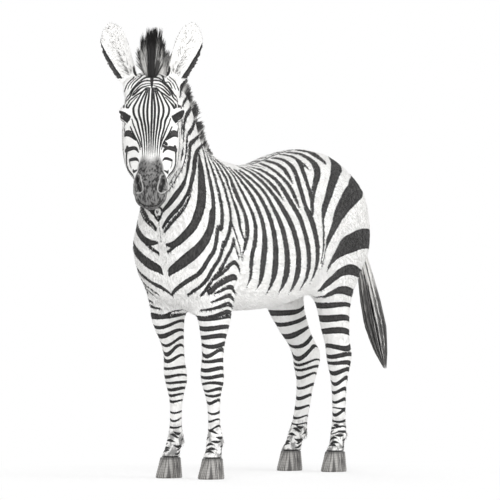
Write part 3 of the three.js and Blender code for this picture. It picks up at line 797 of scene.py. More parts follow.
    def thin_out(self) -> None:
        """Leaves fewer faces on the trunk and neck, where the forms are broad, but none too large."""
        self.mesh.vertices.foreach_set("co", self.places.astype(np.float32).ravel())
        made = link("thinned", self.mesh)
        broad = self.own(Region.TRUNK, Region.NECK)
        broad |= (self.places[:, 2] > 0.66) & (self.places[:, 2] < 1.0)
        group = made.vertex_groups.new(name="broad")
        group.add(np.nonzero(broad)[0].tolist(), 1.0, "REPLACE")
        thin = made.modifiers.new("thin", "DECIMATE")
        thin.ratio, thin.vertex_group = 1 - (1 - self.body_share) * broad.mean(), "broad"
        self.mesh = evaluated(made)
        work = bmesh.new()
        work.from_mesh(self.mesh)
        for _ in range(3):
            long = [e for e in work.edges if e.calc_length() > self.longest]
            bmesh.ops.subdivide_edges(work, edges=long, cuts=1)
            bmesh.ops.triangulate(work, faces=[f for f in work.faces if len(f.verts) > 3])
        work.to_mesh(self.mesh)
        work.free()
        self.mesh.polygons.foreach_set("use_smooth", np.ones(len(self.mesh.polygons), bool))

    def tree(self) -> BVHTree:
        """Returns a search tree of the skin."""
        return BVHTree.FromPolygons(self.places.tolist(), self.triangles.tolist())


@dataclass
class Places:
    """Finds places on the skin from plain measures: flank, barrel, column, face and legs."""

    skin: Skin

    def __post_init__(self) -> None:
        """Sorts the skin's triangles into the head's and the rest, and finds the limbs' cores."""
        skin = self.skin
        self.head = skin.head
        self.body = self.tree_of(~skin.own(Region.HEAD, Region.EARS))
        self.face = self.tree_of(skin.own(Region.HEAD))
        self.cores = {leg: Core(leg.value) for leg in LEGS}

    def tree_of(self, chosen: Array) -> BVHTree:
        """Returns a search tree of the triangles of some of the skin's vertices."""
        faces = self.skin.triangles
        return BVHTree.FromPolygons(self.skin.places.tolist(), faces[chosen[faces[:, 0]]].tolist())

    def cast(self, tree: BVHTree, start: Array, way: Array, reach: float) -> Array:
        """Returns where a straight look meets the skin, or the skin's nearest place to its end.

        Args:
            tree: The triangles to look at.
            start: Where the look starts.
            way: Its direction.
            reach: How far off its end is.

        Returns:
            The place.
        """
        hit = tree.ray_cast(Vector(start), Vector(way))[0]
        if hit is None:
            hit = tree.find_nearest(Vector(start + way * reach))[0]
        return np.array(hit)

    def path(self, rows: tuple, sign: int = 1) -> Array:
        """Returns the places of rows on the charts, each with its width, if it has one."""
        return np.array([[*self.put(chart, u, v, sign), *width] for chart, u, v, *width in rows])

    def put(self, chart: Chart, u: float, v: float, sign: int = 1) -> Array:
        """Returns the place on the skin for two measures on one of the charts.

        Args:
            chart: The chart.
            u: The first measure.
            v: The second measure.
            sign: 1 for the left side and -1 for the right.

        Returns:
            The place.
        """
        head, turn = self.head, math.radians(u)
        if chart is Chart.FLANK:
            return self.cast(self.body, np.array([sign * 0.8, u, v]), np.array([-sign, 0.0, 0.0]), 0.7)
        if chart is Chart.BARREL:
            way = np.array([sign * math.sin(turn), 0.0, math.cos(turn)])
            return self.cast(self.body, np.array([0.0, v, BARREL_HEIGHT]) + way * 0.8, -way, 0.6)
        if chart is Chart.COLUMN:
            way = np.array([sign * math.sin(turn), math.cos(turn), 0.0])
            return self.cast(self.body, np.array([0.0, column_centre(v), v]) + way * 0.8, -way, 0.7)
        if chart is Chart.FACE:
            return self.cast(self.face, head.place(v, 0.30, u * sign), -head.depth, 0.36)
        if chart is Chart.FRONT:
            start = head.origin + head.side * (u * sign) + head.facing * 0.9
            start[2] = v
            return self.cast(self.face, start, -head.facing, 0.88)
        way = head.depth * math.cos(turn) + head.side * math.sin(turn) * sign
        return self.cast(self.face, head.place(v, -0.10, 0) + way * 0.4, -way, 0.3)

    def on_leg(self, leg: Region, z: float, angle: float) -> Array:
        """Returns the place on a leg at a height and an angle from its front, outward above 0.

        Args:
            leg: The leg.
            z: The height.
            angle: The angle in degrees.

        Returns:
            The place.
        """
        sign = 1 if leg in (Region.FORE_LEFT, Region.HIND_LEFT) else -1
        turn = math.radians(angle)
        way = np.array([sign * math.sin(turn), -math.cos(turn), 0.0])
        centre = self.cores[leg].at(z)
        start = np.array([centre[0], centre[1], z])
        hit = self.body.ray_cast(Vector(start), Vector(way))[0]
        return start + way * 0.03 if hit is None else np.array(hit)


# ---- the markings --------------------------------------------------------------------------


# The tables hold millimetres and degrees. A row is a place's two measures on the table's chart
# and the band's width there. They run from one end of the band to the other, on the left side.
flank, barrel, column, face, front, cheek = (chart.rows for chart in Chart)

# The bars of the barrel, from the shoulder back to the croup.
BARREL_BARS = (
    barrel((6, -318, 12), (20, -316, 15), (40, -316, 16), (60, -292, 17), (80, -292, 12),
           (92, -281, 6)),
    barrel((6, -290, 12), (20, -288, 15), (40, -281, 30), (60, -254, 23), (80, -256, 25),
           (100, -283, 14), (111, -298, 2)),
    barrel((12, -290, 12), (20, -260, 14), (40, -230, 21), (60, -209, 17), (80, -209, 22),
           (100, -235, 24), (111, -251, 22), (120, -246, 20), (129, -239, 13), (138, -242, 2)),
    barrel((20, -227, 22), (40, -183, 23), (60, -168, 23), (80, -163.5, 24), (100, -174, 33),
           (112, -183, 34), (122, -180, 29), (130.5, -172.5, 18), (138, -178, 2)),
    barrel((20, -185, 25), (40, -138, 25), (60, -119, 25), (80, -110, 27), (100, -110, 33),
           (112, -109, 36), (122, -104, 36), (130, -98.5, 24), (140, -97, 2)),
    barrel((20, -144, 27), (40, -89, 22), (60, -73, 25), (80, -53, 29), (100, -43, 31),
           (112, -35, 35), (122, -28, 38), (130, -20, 28), (140, -13, 2)),
    barrel((12, -100, 30), (20, -75, 34), (40, -44, 25), (60, -18, 31), (80, 10, 33), (100, 30, 33),
           (112, 40, 36), (122, 50, 38), (130, 58, 28), (140, 63, 2)),
    barrel((12, -45, 20), (20, -27, 23), (40, -2, 27), (54, 7, 2)),
    barrel((8, 0, 20), (14, 17, 27), (20, 25, 27), (30, 40, 28), (40, 42, 29), (50, 44, 30),
           (60, 53, 31), (70, 69, 31), (80, 78, 30), (100, 100, 32), (112, 113, 30), (122, 124, 28),
           (130, 130, 18), (138, 133, 2)),
    barrel((4, 50, 15), (18, 58, 2)),
    barrel((5, 103, 20), (13, 90, 25), (20, 86, 25), (40, 90, 25), (50, 86, 22), (59, 84, 16),
           (63, 86, 2)),
    barrel((4, 153, 28), (11, 150, 28), (20, 146, 27), (27, 134, 24), (34, 123, 16), (39, 115, 2)),
    barrel((4, 200, 20), (11, 207, 22), (20, 200, 25), (27, 184, 25), (34, 165, 25), (40, 150, 25),
           (50, 136, 26), (60, 127, 26), (66, 130, 34), (74, 142, 36), (80, 148, 34), (100, 169, 31),
           (112, 177, 27), (122, 181, 18), (130, 180, 2)),
    barrel((4, 261, 22), (11, 267, 22), (17.5, 265, 22), (24, 242, 22), (30, 223, 22),
           (37.5, 205, 22), (45, 194, 22), (52, 184, 22), (60, 173, 22), (67, 155, 22)),
    barrel((17, 265, 20), (25, 262, 16), (31, 260, 2)),
    barrel((4, 307, 30), (11, 327, 34), (17.5, 327, 34), (24, 319, 34), (30, 303, 33), (36, 280, 30),
           (41, 250, 26), (46, 223, 24), (52, 200, 20), (56, 187, 18)),
    barrel((5, 388, 50), (11, 403, 52), (19, 392, 45), (26, 377, 25), (30, 361, 2)),
)
# The broad bands of the haunch and thigh.
HAUNCH_BANDS = (
    barrel((14, 548, 54), (20, 515, 62), (26, 480, 62), (31, 441, 56), (37.5, 382, 48), (44, 342, 43),
           (49, 319, 40), (55, 288, 36), (61, 261, 31), (69, 234, 26), (77, 223, 22), (93, 216, 16),
           (100, 216, 13), (110, 210, 8), (118, 205, 1)),
    barrel((30, 636, 92), (42.5, 563, 96), (49, 502, 92), (55, 443, 86), (61, 402, 78), (67, 362, 68),
           (74, 327, 58), (80, 303, 42), (88, 270, 30), (95, 252, 22), (102, 240, 15), (110, 232, 10),
           (116, 225, 6)),
    flank((660, 955, 78), (640, 958, 82), (540, 955, 85), (460, 938, 82), (390, 920, 75),
          (340, 885, 50), (305, 860, 30), (310, 820, 2)),
    flank((590, 815, 36), (545, 822, 40), (480, 832, 45), (420, 825, 40), (370, 800, 36),
          (330, 765, 25), (318, 745, 8)),
    flank((555, 735, 30), (500, 740, 35), (450, 748, 35), (400, 745, 30), (360, 725, 20),
          (345, 705, 2)),
)
# The bands that run from the crest over the neck and shoulder to the middle of the breast.
NECK_BANDS = (
    column((14, 1556, 14), (33, 1549, 12), (60, 1546, 12), (80, 1534, 12), (93.5, 1526, 12)),
    column((14, 1532, 14), (37, 1520, 14), (60, 1514, 14), (80, 1504, 15), (90, 1494, 16),
           (97, 1480, 14)),
    column((14, 1495, 24), (42, 1482, 22), (60, 1473, 22), (80, 1457, 26), (90, 1446, 27),
           (97, 1434, 24), (101, 1421, 20), (106.7, 1403, 15), (113.3, 1373, 12), (118, 1347, 10),
           (122.7, 1333, 6)),
    column((104, 1446, 6), (108, 1433, 11), (113.3, 1400, 12), (120, 1377, 15), (124, 1360, 13)),
    column((14, 1444, 26), (45, 1427, 26), (60, 1414, 25), (80, 1390, 22), (90, 1381, 21),
           (100, 1376, 15), (106.7, 1357, 14), (113.3, 1327, 13), (120, 1297, 11), (126.7, 1273, 8),
           (132, 1250, 8), (140, 1227, 9), (146.7, 1202, 8), (153, 1178, 9), (160, 1149, 8)),
    column((122, 1325, 4), (125, 1313, 10), (130, 1293, 13), (135, 1268, 7)),
    column((141, 1239, 4), (146.7, 1220, 6), (153, 1199, 6), (158, 1175, 4)),
    column((145, 1250, 4), (150, 1238, 8), (156, 1221, 8)),
    column((14, 1388, 14), (40, 1367, 13), (60, 1362, 14), (80, 1349, 18), (90, 1342, 22),
           (100, 1338, 26), (106.7, 1317, 27), (113.3, 1288, 27), (120, 1263, 26), (126.7, 1233, 18),
           (132, 1206, 18), (137, 1183, 26), (146.7, 1150, 29), (153, 1130, 29), (160, 1101, 25),
           (166.7, 1077, 18), (170, 1062, 12)),
    column((14, 1345, 13), (40, 1332, 12), (60, 1322, 14), (75, 1313, 18), (85, 1304, 24),
           (92, 1292, 34), (100, 1272, 40), (110, 1237, 36), (120, 1200, 35), (126, 1176, 26),
           (131, 1158, 18), (140, 1123, 19), (150, 1087, 21), (160, 1053, 20), (166.7, 1023, 18),
           (170, 1003, 13)),
    column((124, 1170, 8), (128, 1152, 12), (133, 1129, 12), (140, 1099, 16), (150, 1062, 17),
           (160, 1027, 18), (169, 987, 15)),
    column((70, 1308, 6), (78, 1292, 24), (84, 1266, 46), (90, 1232, 58), (100, 1180, 62),
           (110, 1132, 64), (120, 1087, 62), (131.8, 1036, 53), (141.3, 999, 43), (150.8, 967, 37),
           (160.3, 936, 30), (168.3, 935, 12)),
    column((157, 945, 18), (163, 920, 16), (168.3, 907, 12)),
    barrel((5, -398, 12), (14, -400, 16), (40, -417, 20), (60, -432, 22))
    + column((100, 1074, 30), (110, 1019, 35), (120, 981, 38), (131.8, 941, 40), (141.3, 908, 45),
             (150.8, 880, 45), (160.3, 851, 40), (167.9, 832, 30), (174.5, 804, 10)),
    barrel((5, -370, 11), (20, -372, 14), (40, -384, 16), (60, -387, 18), (80, -402, 20))
    + column((100, 1012, 20), (110, 960, 20), (120, 913, 20), (131.8, 870, 20), (140, 827, 20),
             (147, 809, 20), (155.5, 790, 20), (165, 766, 18), (171.6, 747, 14), (174, 737.5, 10)),
    barrel((5, -342, 11), (20, -342, 14), (40, -348, 16), (60, -342, 17), (80, -357, 18),
           (100, -402, 18))
    + column((100, 951, 18), (110, 903, 18), (120, 865, 18), (128, 837, 18), (133.7, 804, 17),
             (141, 775, 16), (149, 756, 15), (157, 737.5, 12)),
    barrel((72, -345, 14), (80, -328, 12), (90, -318, 10), (100, -307, 8), (113, -300, 4)),
)
# The arches over the point of the shoulder and down the upper foreleg.
SHOULDER_ARCHES = (
    barrel((90.6, -342.6, 14), (101, -357, 16), (109, -387, 16), (114.7, -405, 16),
           (118.5, -416.5, 16), (124, -437, 15))
    + column((110, 860, 14), (120, 827, 14), (128, 804, 14), (135.6, 766, 14), (143, 733, 12)),
    barrel((90.6, -342.6, 14), (101, -336.7, 12), (107, -328, 10), (112, -320, 6)),
    barrel((131.5, -450.6, 16), (127.6, -434, 19), (123.8, -410.7, 20), (119.5, -387, 20),
           (114, -353, 18), (117.5, -328, 14), (121, -313, 12), (124, -310, 6)),
    barrel((143.5, -449, 24), (136.3, -437, 26), (132.5, -416.6, 30), (129.6, -387, 30),
           (127, -345.6, 26), (129, -325, 14)),
)
UPPER_ARM_HEIGHTS = (766, 732, 699, 668)

# The fan of the face: height, how far to the side the lines 0 to 4 lie, and their width.
FAN = (
    (1555.5, 0, 6, 11, 16, 20, 4), (1540, 1, 9, 16, 22.5, 34, 5.5),
    (1520, 1.8, 10, 21.5, 32, 46.5, 6.6), (1500.5, 2.5, 12.5, 26, 40.5, 57, 7.2),
    (1481, 2.5, 14.5, 29.5, 47, 68, 7.8), (1462, 2.5, 15, 30.5, 49, 70.5, 8),
    (1442.5, 2.5, 14.5, 29, 46.3, 65.5, 7.8), (1423, 2.2, 13.2, 26.8, 39.5, 55.5, 7.6),
)
# The lines of the brow, the bars under the eye and the lines of the cheek.
BROW_LINES = (
    front((10, 1612, 4), (21, 1612, 5), (31, 1609, 5), (44, 1603, 4)),
    front((44, 1611, 4), (58, 1605, 5.5), (70, 1600, 6), (83, 1587, 6), (94, 1575, 6),
          (101.5, 1558.5, 6), (107, 1543, 5)),
    front((40, 1608, 3), (50, 1600, 4), (64, 1592, 4), (79, 1578, 4), (88, 1565, 4), (94, 1550, 3)),
    front((33, 1609, 5), (42.5, 1601, 6), (54, 1589.5, 6), (66, 1579, 6), (74.5, 1568, 5),
          (81, 1554, 4)),
    front((3, 1598, 8), (14, 1600, 10), (29, 1596, 9), (40, 1588, 7), (52, 1579, 7), (64, 1566, 7),
          (75.5, 1552, 7), (84, 1538, 7), (94, 1525, 7), (102.5, 1510, 6), (112, 1495.5, 6),
          (117, 1481, 6), (117, 1470, 5)),
    front((3, 1580, 7), (12, 1583, 8), (33, 1580, 7), (46.5, 1572, 8), (58, 1561.5, 8), (70, 1549, 8),
          (78.5, 1535, 8), (83, 1521, 9), (91, 1509, 9), (102.5, 1495.5, 7), (108.5, 1482, 8),
          (107.5, 1471, 6)),
    front((3, 1570, 5), (16, 1572, 5), (35, 1568, 6), (47.5, 1561, 6), (58, 1549, 6), (69, 1540, 6),
          (74.5, 1527, 5)),
    front((3, 1564, 4), (16, 1562.5, 5), (37, 1555.5, 7), (48.5, 1547, 9), (60, 1536, 10),
          (69, 1526.5, 9), (74.5, 1523, 5)),
    front((12, 1557, 5), (38.5, 1538, 8), (58, 1525, 9), (75.5, 1511, 9), (89, 1497.5, 8),
          (97, 1482, 7), (98, 1468, 6)),
    front((56, 1517, 5), (71.5, 1501.5, 8), (84, 1486, 9), (91, 1473.5, 8)),
    face((76, 196, 4), (70, 220, 5), (60, 250, 6), (50, 285, 6), (43, 310, 5), (38, 340, 3)),
    face((82, 225, 4), (72, 255, 6), (62, 280, 6), (53, 302, 6), (46, 325, 5), (42, 350, 3)),
)
EYE_BARS = (
    face((103, 248, 22), (92, 249, 34), (80, 260, 24), (68, 278, 13), (60, 292, 5)),
    face((107, 192, 4), (107, 212, 6), (104, 230, 7), (104, 246, 8)),
    face((100, 312, 18), (85, 320, 22), (70, 323, 19), (60, 330, 16), (53, 344, 10), (48, 358, 5)),
    face((83, 372, 12), (70, 377, 16), (58, 382, 14), (50, 392, 8), (47, 402, 4)),
    face((83, 370, 6), (82, 388, 6), (77, 404, 5)),
    face((77, 424, 9), (67, 431, 12), (58, 436, 10), (52, 441, 5)),
)
CHEEK_LINES = (
    cheek((68, 310, 14), (75, 330, 13), (83, 356, 14), (88, 382, 14), (87, 405, 12), (80, 425, 10),
          (72, 442, 8), (64, 456, 6), (58, 468, 5)),
    cheek((78, 200, 5), (86, 250, 7), (94, 300, 9), (100, 350, 10), (99, 395, 10), (92, 430, 9),
          (80, 455, 7), (70, 472, 5)),
    cheek((92, 130, 8), (102, 200, 12), (110, 290, 14), (110, 370, 13), (100, 430, 10), (86, 470, 6)),
    cheek((108, 70, 10), (120, 170, 16), (127, 270, 16), (124, 360, 14), (112, 430, 10), (98, 480, 6)),
    cheek((128, 60, 10), (142, 160, 16), (146, 260, 17), (139, 350, 14), (126, 430, 10), (110, 490, 6)),
    cheek((152, 80, 10), (162, 180, 14), (164, 280, 16), (156, 370, 12), (144, 440, 8)),
)
# The nostrils and the mouth. Their dark lines are dark skin and painted shade in the openings.
NOSTRIL = face((51, 482, 15), (51, 498, 13), (46, 518, 11), (38, 539, 8))
NOSTRIL_RIM = face((50, 468, 6), (40, 480, 6), (37, 500, 6), (32, 522, 6), (29, 542, 7), (36, 553, 7),
                   (50, 551, 7), (60, 538, 6), (64, 515, 6), (64, 490, 6))
MOUTH = front((0, 1086.5, 5), (20, 1087.5, 5), (36, 1096, 5), (48, 1114, 5), (57, 1135, 4),
              (62, 1152, 3))
# The rings of the legs: height in front, at the side and behind, and width.
LEG_RINGS = {
    Region.FORE_LEFT: tuple((z, z + 8, z + 2, w) for z, w in (
        (640, 17), (600, 17), (565, 16), (530, 16), (500, 15), (468, 15),
        (435, 14), (405, 13), (378, 12), (352, 12), (330, 10), (305, 11),
        (260, 10), (230, 8), (200, 8))),
    Region.FORE_RIGHT: tuple((z, z + lift, z + lift * 0.7, w) for z, lift, w in (
        (640, 20, 17), (600, 30, 17), (565, 30, 16), (530, 30, 16),
        (500, 26, 15), (468, 22, 15), (435, 12, 14), (405, 8, 13),
        (378, 8, 12), (352, 8, 12), (330, 6, 10), (305, 6, 11),
        (260, 6, 10), (230, 6, 8), (200, 6, 8))),
    Region.HIND_LEFT: (
        (684, 690, 676, 22), (630, 634, 618, 24), (578, 580, 568, 22),
        (518, 508, 522, 19), (482, 475, 486, 16), (445, 450, 430, 17),
        (405, 420, 410, 16), (360, 385, 365, 15), (320, 345, 325, 14),
        (285, 297, 285, 13), (260, 262, 255, 6), (235, 250, 235, 12),
        (205, 210, 205, 10), (180, 185, 180, 8), (160, 160, 155, 6)),
    Region.HIND_RIGHT: (
        (645, 665, 680, 20), (600, 625, 640, 20), (550, 585, 600, 18),
        (510, 540, 555, 18), (465, 505, 500, 17), (435, 455, 445, 12),
        (410, 430, 420, 14), (380, 400, 390, 14), (335, 355, 345, 14),
        (295, 310, 300, 13), (255, 265, 260, 12), (215, 225, 220, 10),
        (190, 195, 190, 8)),
}


@dataclass
class Markings:
    """Works out, for every vertex of the skin, how deep it lies inside a dark marking.

    Attributes:
        skin: The skin to mark.
        step: The spacing of the samples along a band.
        outside: The depth far from any marking.
        seed: The seed of the small differences between the two sides.
        lid_ring: The width of the pale skin round an eye's opening.
        upper_rim: The width of the dark rim of the upper lid.
        lower_rim: The width of the dark rim of the lower lid.
        ring_seeds: The seeds of the rings' waver on a left and on a right leg.
        pasterns: The heights of the broken rings below the fetlock.
        dock_bars: The heights of the bars across the tail.
    """

    skin: Skin
    step: float = 0.008
    outside: float = -0.030
    seed: int = 41
    lid_ring: float = 0.0085
    upper_rim: float = 0.0036
    lower_rim: float = 0.0024
    ring_seeds: tuple = (95, 82)
    pasterns: tuple = (0.184, 0.166, 0.149, 0.133, 0.118, 0.104)
    dock_bars: tuple = (1.165, 1.120, 1.075, 1.030, 0.985, 0.945)

    def paint(self) -> None:
        """Paints all the markings and writes them on the skin."""
        skin = self.skin
        self.depth = np.full(len(skin.places), self.outside)
        self.grey = np.zeros(len(skin.places))
        self.tree = skin.tree()
        self.cast = Places(skin)
        self.cores = self.cast.cores
        self.rng = np.random.default_rng(self.seed)
        self.paint_body()
        self.paint_legs()
        self.paint_head()
        self.paint_ears()
        skin.marks = {"depth": self.depth * 1000, "grey": self.grey,
                      "mottle": ease(0.26, 0.15, skin.places[:, 2])}
        for name, values in skin.marks.items():
            write_attribute(skin.object.data, name, values)

    def follow(self, rows: Array, tree: BVHTree | None = None, rounds: int = 1) -> Array:
        """Lays a path of places and widths onto the skin.

        Args:
            rows: Place and full width.
            tree: The part of the skin that it lies on, if not all.
            rounds: How often its kinks are evened out.

        Returns:
            Samples: place and half width.
        """
        path = curve_through(rows, self.step)
        for _ in range(rounds):
            path[1:-1] = (path[:-2] + 2 * path[1:-1] + path[2:]) / 4
        for i, place in enumerate(path[:, :3]):
            path[i, :3] = (tree or self.tree).find_nearest(Vector(place))[0]
        path[:, 3] = np.maximum(path[:, 3] / 2, 0.0004)
        return path

    def stroke(self, rows: Array, dark: bool = True, mask: Array | None = None,
               tree: BVHTree | None = None) -> None:
        """Draws one band.

        Args:
            rows: Place and full width.
            dark: Whether it is dark, or a pale band over the dark.
            mask: Which vertices it may mark.
            tree: The part of the skin that it lies on, if not all.
        """
        path = self.follow(rows, tree, 8 if tree is self.cast.body else 1)
        margin = 0.028 + path[:, 3].max()
        low, high = path[:, :3].min(0) - margin, path[:, :3].max(0) + margin
        near = np.all((self.skin.places > low) & (self.skin.places < high), axis=1)
        if mask is not None:
            near &= mask
        near = np.nonzero(near)[0]
        inside, _ = distance_to(self.skin.places[near], path)
        if dark:
            self.depth[near] = np.maximum(self.depth[near], inside)
        else:
            self.depth[near] = np.minimum(self.depth[near], -inside)

    def band(self, rows: tuple, sign: int, mask: Array | None = None, shift: float = 0.0) -> None:
        """Draws a band of the tables on one side.

        Args:
            rows: Chart, two measures and width, one row for each place.
            sign: 1 for the left side and -1 for the right.
            mask: Which vertices it may mark.
            shift: How far a place may wander from the table.
        """
        wander = self.rng.normal(0, 1, 3) * shift
        turns = np.linspace(0, 3.0, len(rows)) + self.rng.uniform(0, 6)
        sway = wander[0] + wander[1] * np.sin(turns)
        size = 1 + 0.06 * wander[2] / max(shift, 1e-9) * (shift > 0)
        out = []
        for (chart, u, v, width), extra in zip(rows, sway):
            along = (u + extra, v) if chart is Chart.FLANK else (u, v + extra)
            if chart is Chart.COLUMN and sign < 0:
                along = (u + 12.0 * ease(120, 168, u), along[1])
            out.append([*self.cast.put(chart, *along, sign), width * size])
        if all(row[0] is Chart.COLUMN for row in rows):
            run = np.gradient(np.array(out)[:, :3], axis=0)
            slope = np.sqrt(np.linalg.norm(run[:, :2], axis=1) / np.linalg.norm(run, axis=1))
            slope = np.clip(slope, 0.70, 1)
            out = [[*row[:3], row[3] * share] for row, share in zip(out, slope)]
        on_head = rows[0][0] in (Chart.FACE, Chart.FRONT, Chart.CHEEK)
        self.stroke(out, mask=mask, tree=self.cast.face if on_head else self.cast.body)

    def paint_body(self) -> None:
        """Paints the trunk, neck and breast."""
        skin = self.skin
        apart = skin.own(Region.HEAD, Region.EARS, Region.TAIL)
        upper = ~apart & (skin.places[:, 2] > 0.60)
        for sign, shift in ((1, 0.0), (-1, 0.004)):
            side = skin.places[:, 0] * sign > -0.03
            for rows in BARREL_BARS + NECK_BANDS + SHOULDER_ARCHES:
                self.band(rows, sign, upper & side, shift)
            for rows in HAUNCH_BANDS:
                outer = side & (skin.normals[:, 0] * sign > -0.45) & ~apart
                self.band(rows, sign, outer, shift)
            for z in UPPER_ARM_HEIGHTS:
                rows = flank((-435, z - 26, 7), (-410, z - 12, 14), (-380, z, 19), (-350, z, 19),
                             (-325, z - 12, 15), (-308, z - 30, 5))
                self.band(rows, sign, upper & side, shift)
        self.stroke(self.cast.path(barrel(*((0, y, 13) for y in range(-200, 600, 80)))))
        belly = barrel((180, -240, 4), (180, -150, 18), (180, 0, 22), (180, 150, 20), (180, 280, 4))
        self.stroke(self.cast.path(belly))
        self.paint_breast()
        self.paint_dock()

    def paint_breast(self) -> None:
        """Paints the pale strip down the middle of the breast, and the small fold above it."""
        strip = column((174, 990, 10), (173.5, 950, 16), (173.5, 900, 24), (174, 850, 34),
                       (174.5, 815, 26), (174.5, 785, 4))
        fold = column((173.6, 1072, 34), (173.6, 1055, 34), (173.6, 1038, 34))
        for rows in (strip, fold):
            self.stroke(self.cast.path(rows), dark=False)
        ring = []
        for turn in np.linspace(0, 2 * np.pi, 17):
            wide = 5.6 * math.sin(turn) * (0.30 + 0.70 * (1 + math.cos(turn)) / 2)
            place = self.cast.put(Chart.COLUMN, 173.7 + wide, 1.057 + 0.028 * math.cos(turn))
            ring.append([*place, 0.008])
        self.stroke(ring)
        spots = [column((u, z - 3, 9), (u, z + 3, 9)) for u, z in ((174.5, 1066), (173.4, 1045))]
        edge = column((173.7, 1020, 3), (173.7, 985, 3), (173.7, 950, 3))
        for rows in (*spots, edge):
            self.stroke(self.cast.path(rows))

    def paint_dock(self) -> None:
        """Paints the short bars across the tail."""
        own = self.skin.own(Region.TAIL)
        for z in self.dock_bars:
            near = np.abs(self.skin.places[:, 2] - z) < 0.02
            gap = 0.006 - np.abs(self.skin.places[:, 2] - z
                                 - 0.004 * np.sin(self.skin.places[:, 0] * 90))
            self.depth[own & near] = np.maximum(self.depth, gap)[own & near]

    def paint_legs(self) -> None:
        """Paints the rings of the legs and the dark edge above each hoof."""
        skin = self.skin
        for leg in LEGS:
            sign = 1 if "LEFT" in leg.name else -1
            gap = np.linalg.norm(skin.places[:, :2] - self.cores[leg].at(skin.places[:, 2]), axis=1)
            own = (skin.places[:, 0] * sign > 0.004) & (gap < 0.20)
            own &= (skin.places[:, 1] < 0.05) == ("FORE" in leg.name)
            own &= ~skin.own(Region.TAIL)
            rows = np.nonzero(own & (skin.places[:, 2] < 0.72))[0]
            places = skin.places[rows]
            offset = places[:, :2] - self.cores[leg].at(places[:, 2])
            angle = np.degrees(np.arctan2(offset[:, 0] * sign, -offset[:, 1]))
            turn = (1 - np.cos(np.radians(angle))) / 2
            seed = self.ring_seeds[sign < 0]
            waver = np.random.default_rng(seed).normal(0, 1, (40, 3))
            depth = self.depth[rows]
            for n, (front, side, back, width) in enumerate(np.divide(LEG_RINGS[leg], 1000)):
                bend = ((side - front) - 0.1706 * (back - front)) / 0.2424
                line = front + bend * turn + (back - front - bend) * turn**2
                line += 0.0035 * waver[n, 0] * np.sin(np.radians(angle * 2 + 90 * waver[n, 1]))
                half = width / 2 * (1 + 0.22 * np.sin(np.radians(angle + 60 * waver[n, 2])))
                half = half * (1 - 0.20 * np.exp(-(((angle + 105) / 35) ** 2)))
                depth = np.maximum(depth, (half - np.abs(places[:, 2] - line)) * 0.92)
            for n, z in enumerate(self.pasterns):
                wave = np.sin(np.radians(angle * 2 + 140 * waver[n + 20, 0]))
                line = z + 0.0040 * wave + 0.004 * np.cos(np.radians(angle * 3))
                half = 0.0034 * (0.7 + np.sin(np.radians(angle * 3 + 90 * waver[n + 20, 1])))
                depth = np.maximum(depth, half - np.abs(places[:, 2] - line))
            depth = np.maximum(depth, 0.008 - np.abs(places[:, 2] - 0.080))
            self.depth[rows] = depth

    def paint_head(self) -> None:
        """Paints the fan of the face, the brow, the bars under the eyes, the lids with painted shade in
        the creases under them, and the muzzle.
        """
        skin, head = self.skin, self.skin.head
        local = head.local(skin.places)
        along, _, side = local.T
        own = skin.own(Region.HEAD)
        foot = skin.own(Region.EARS) & (skin.places[:, 2] < 1.600)
        top = (own & (skin.normals @ head.depth > -0.1)) | foot
        for k in range(-4, 5):
            sign, far = (1 if k >= 0 else -1), abs(k)
            rows = [[*self.cast.put(Chart.FRONT, row[far] if far else 0.0025, z, sign), row[-1]]
                    for z, *row in np.divide(FAN, 1000)]
            for place in np.linspace(0.245, 0.395, 9):
                spread = np.interp(place, [0.245, 0.25, 0.30, 0.35, 0.40],
                                   [0.68, 0.66, 0.52, 0.46, 0.44])
                across = 0.002 * spread + k * 0.0165 * (1 + 0.03 * far) * spread
                width = np.interp(place, [0.245, 0.30, 0.36, 0.395], [0.0075, 0.0056, 0.0036, 0.001])
                rows.append([*self.cast.put(Chart.FACE, across, place, 1), width])
            rows = [[*row[:3], row[3] * 1.18] for row in rows]
            self.stroke(rows, mask=top, tree=self.cast.face)
        patch = front((1, 1604, 16), (1, 1585, 13), (1, 1568, 10), (1, 1552, 4))
        self.stroke(self.cast.path(patch), mask=top, tree=self.cast.face)
        for sign in (1, -1):
            half = side * sign > -0.01
            for rows in BROW_LINES:
                self.band(tuple((*row[:3], row[3] + 0.0007) for row in rows), sign, top & half, 0.0010)
            for rows in EYE_BARS:
                self.band(rows, sign, top & half, 0.0012)
            for rows in CHEEK_LINES:
                self.band(tuple((*row[:3], row[3] * 1.2) for row in rows), sign, own & half, 0.002)
        for sign, eye in zip((1, -1), head.lids):
            slit, reach, (a, b, o) = eye.measure(skin.places)
            near = own & (reach < eye.radius * 1.9) & (o > 0)
            pale = self.lid_ring + slit * eye.radius
            clear = np.minimum(self.depth, -np.maximum(pale, 0.0005))
            self.depth = np.where(near & (pale > -0.002), clear, self.depth)
            rim = np.where(b > 0, self.upper_rim, self.lower_rim) + slit * eye.radius
            rim = np.where(slit > 0, 0.004, rim)
            # The lines at the folds under each eye are painted shade in the lower lid's creases.
            fold = 0.0012 - np.abs(slit + 0.27 + 0.03 * a) * eye.radius
            crease_shade = 0.0008 - np.abs(slit + 0.42 + 0.10 * a) * eye.radius
            lines = np.where(b < 0, np.maximum(fold, crease_shade), -1.0)
            lines = np.where(np.abs(a) < 0.62, lines, -1.0)
            value = np.maximum(rim, lines)
            self.depth = np.where(near & (value > -0.0012), np.maximum(self.depth, value), self.depth)
        self.paint_muzzle(own, along, side)

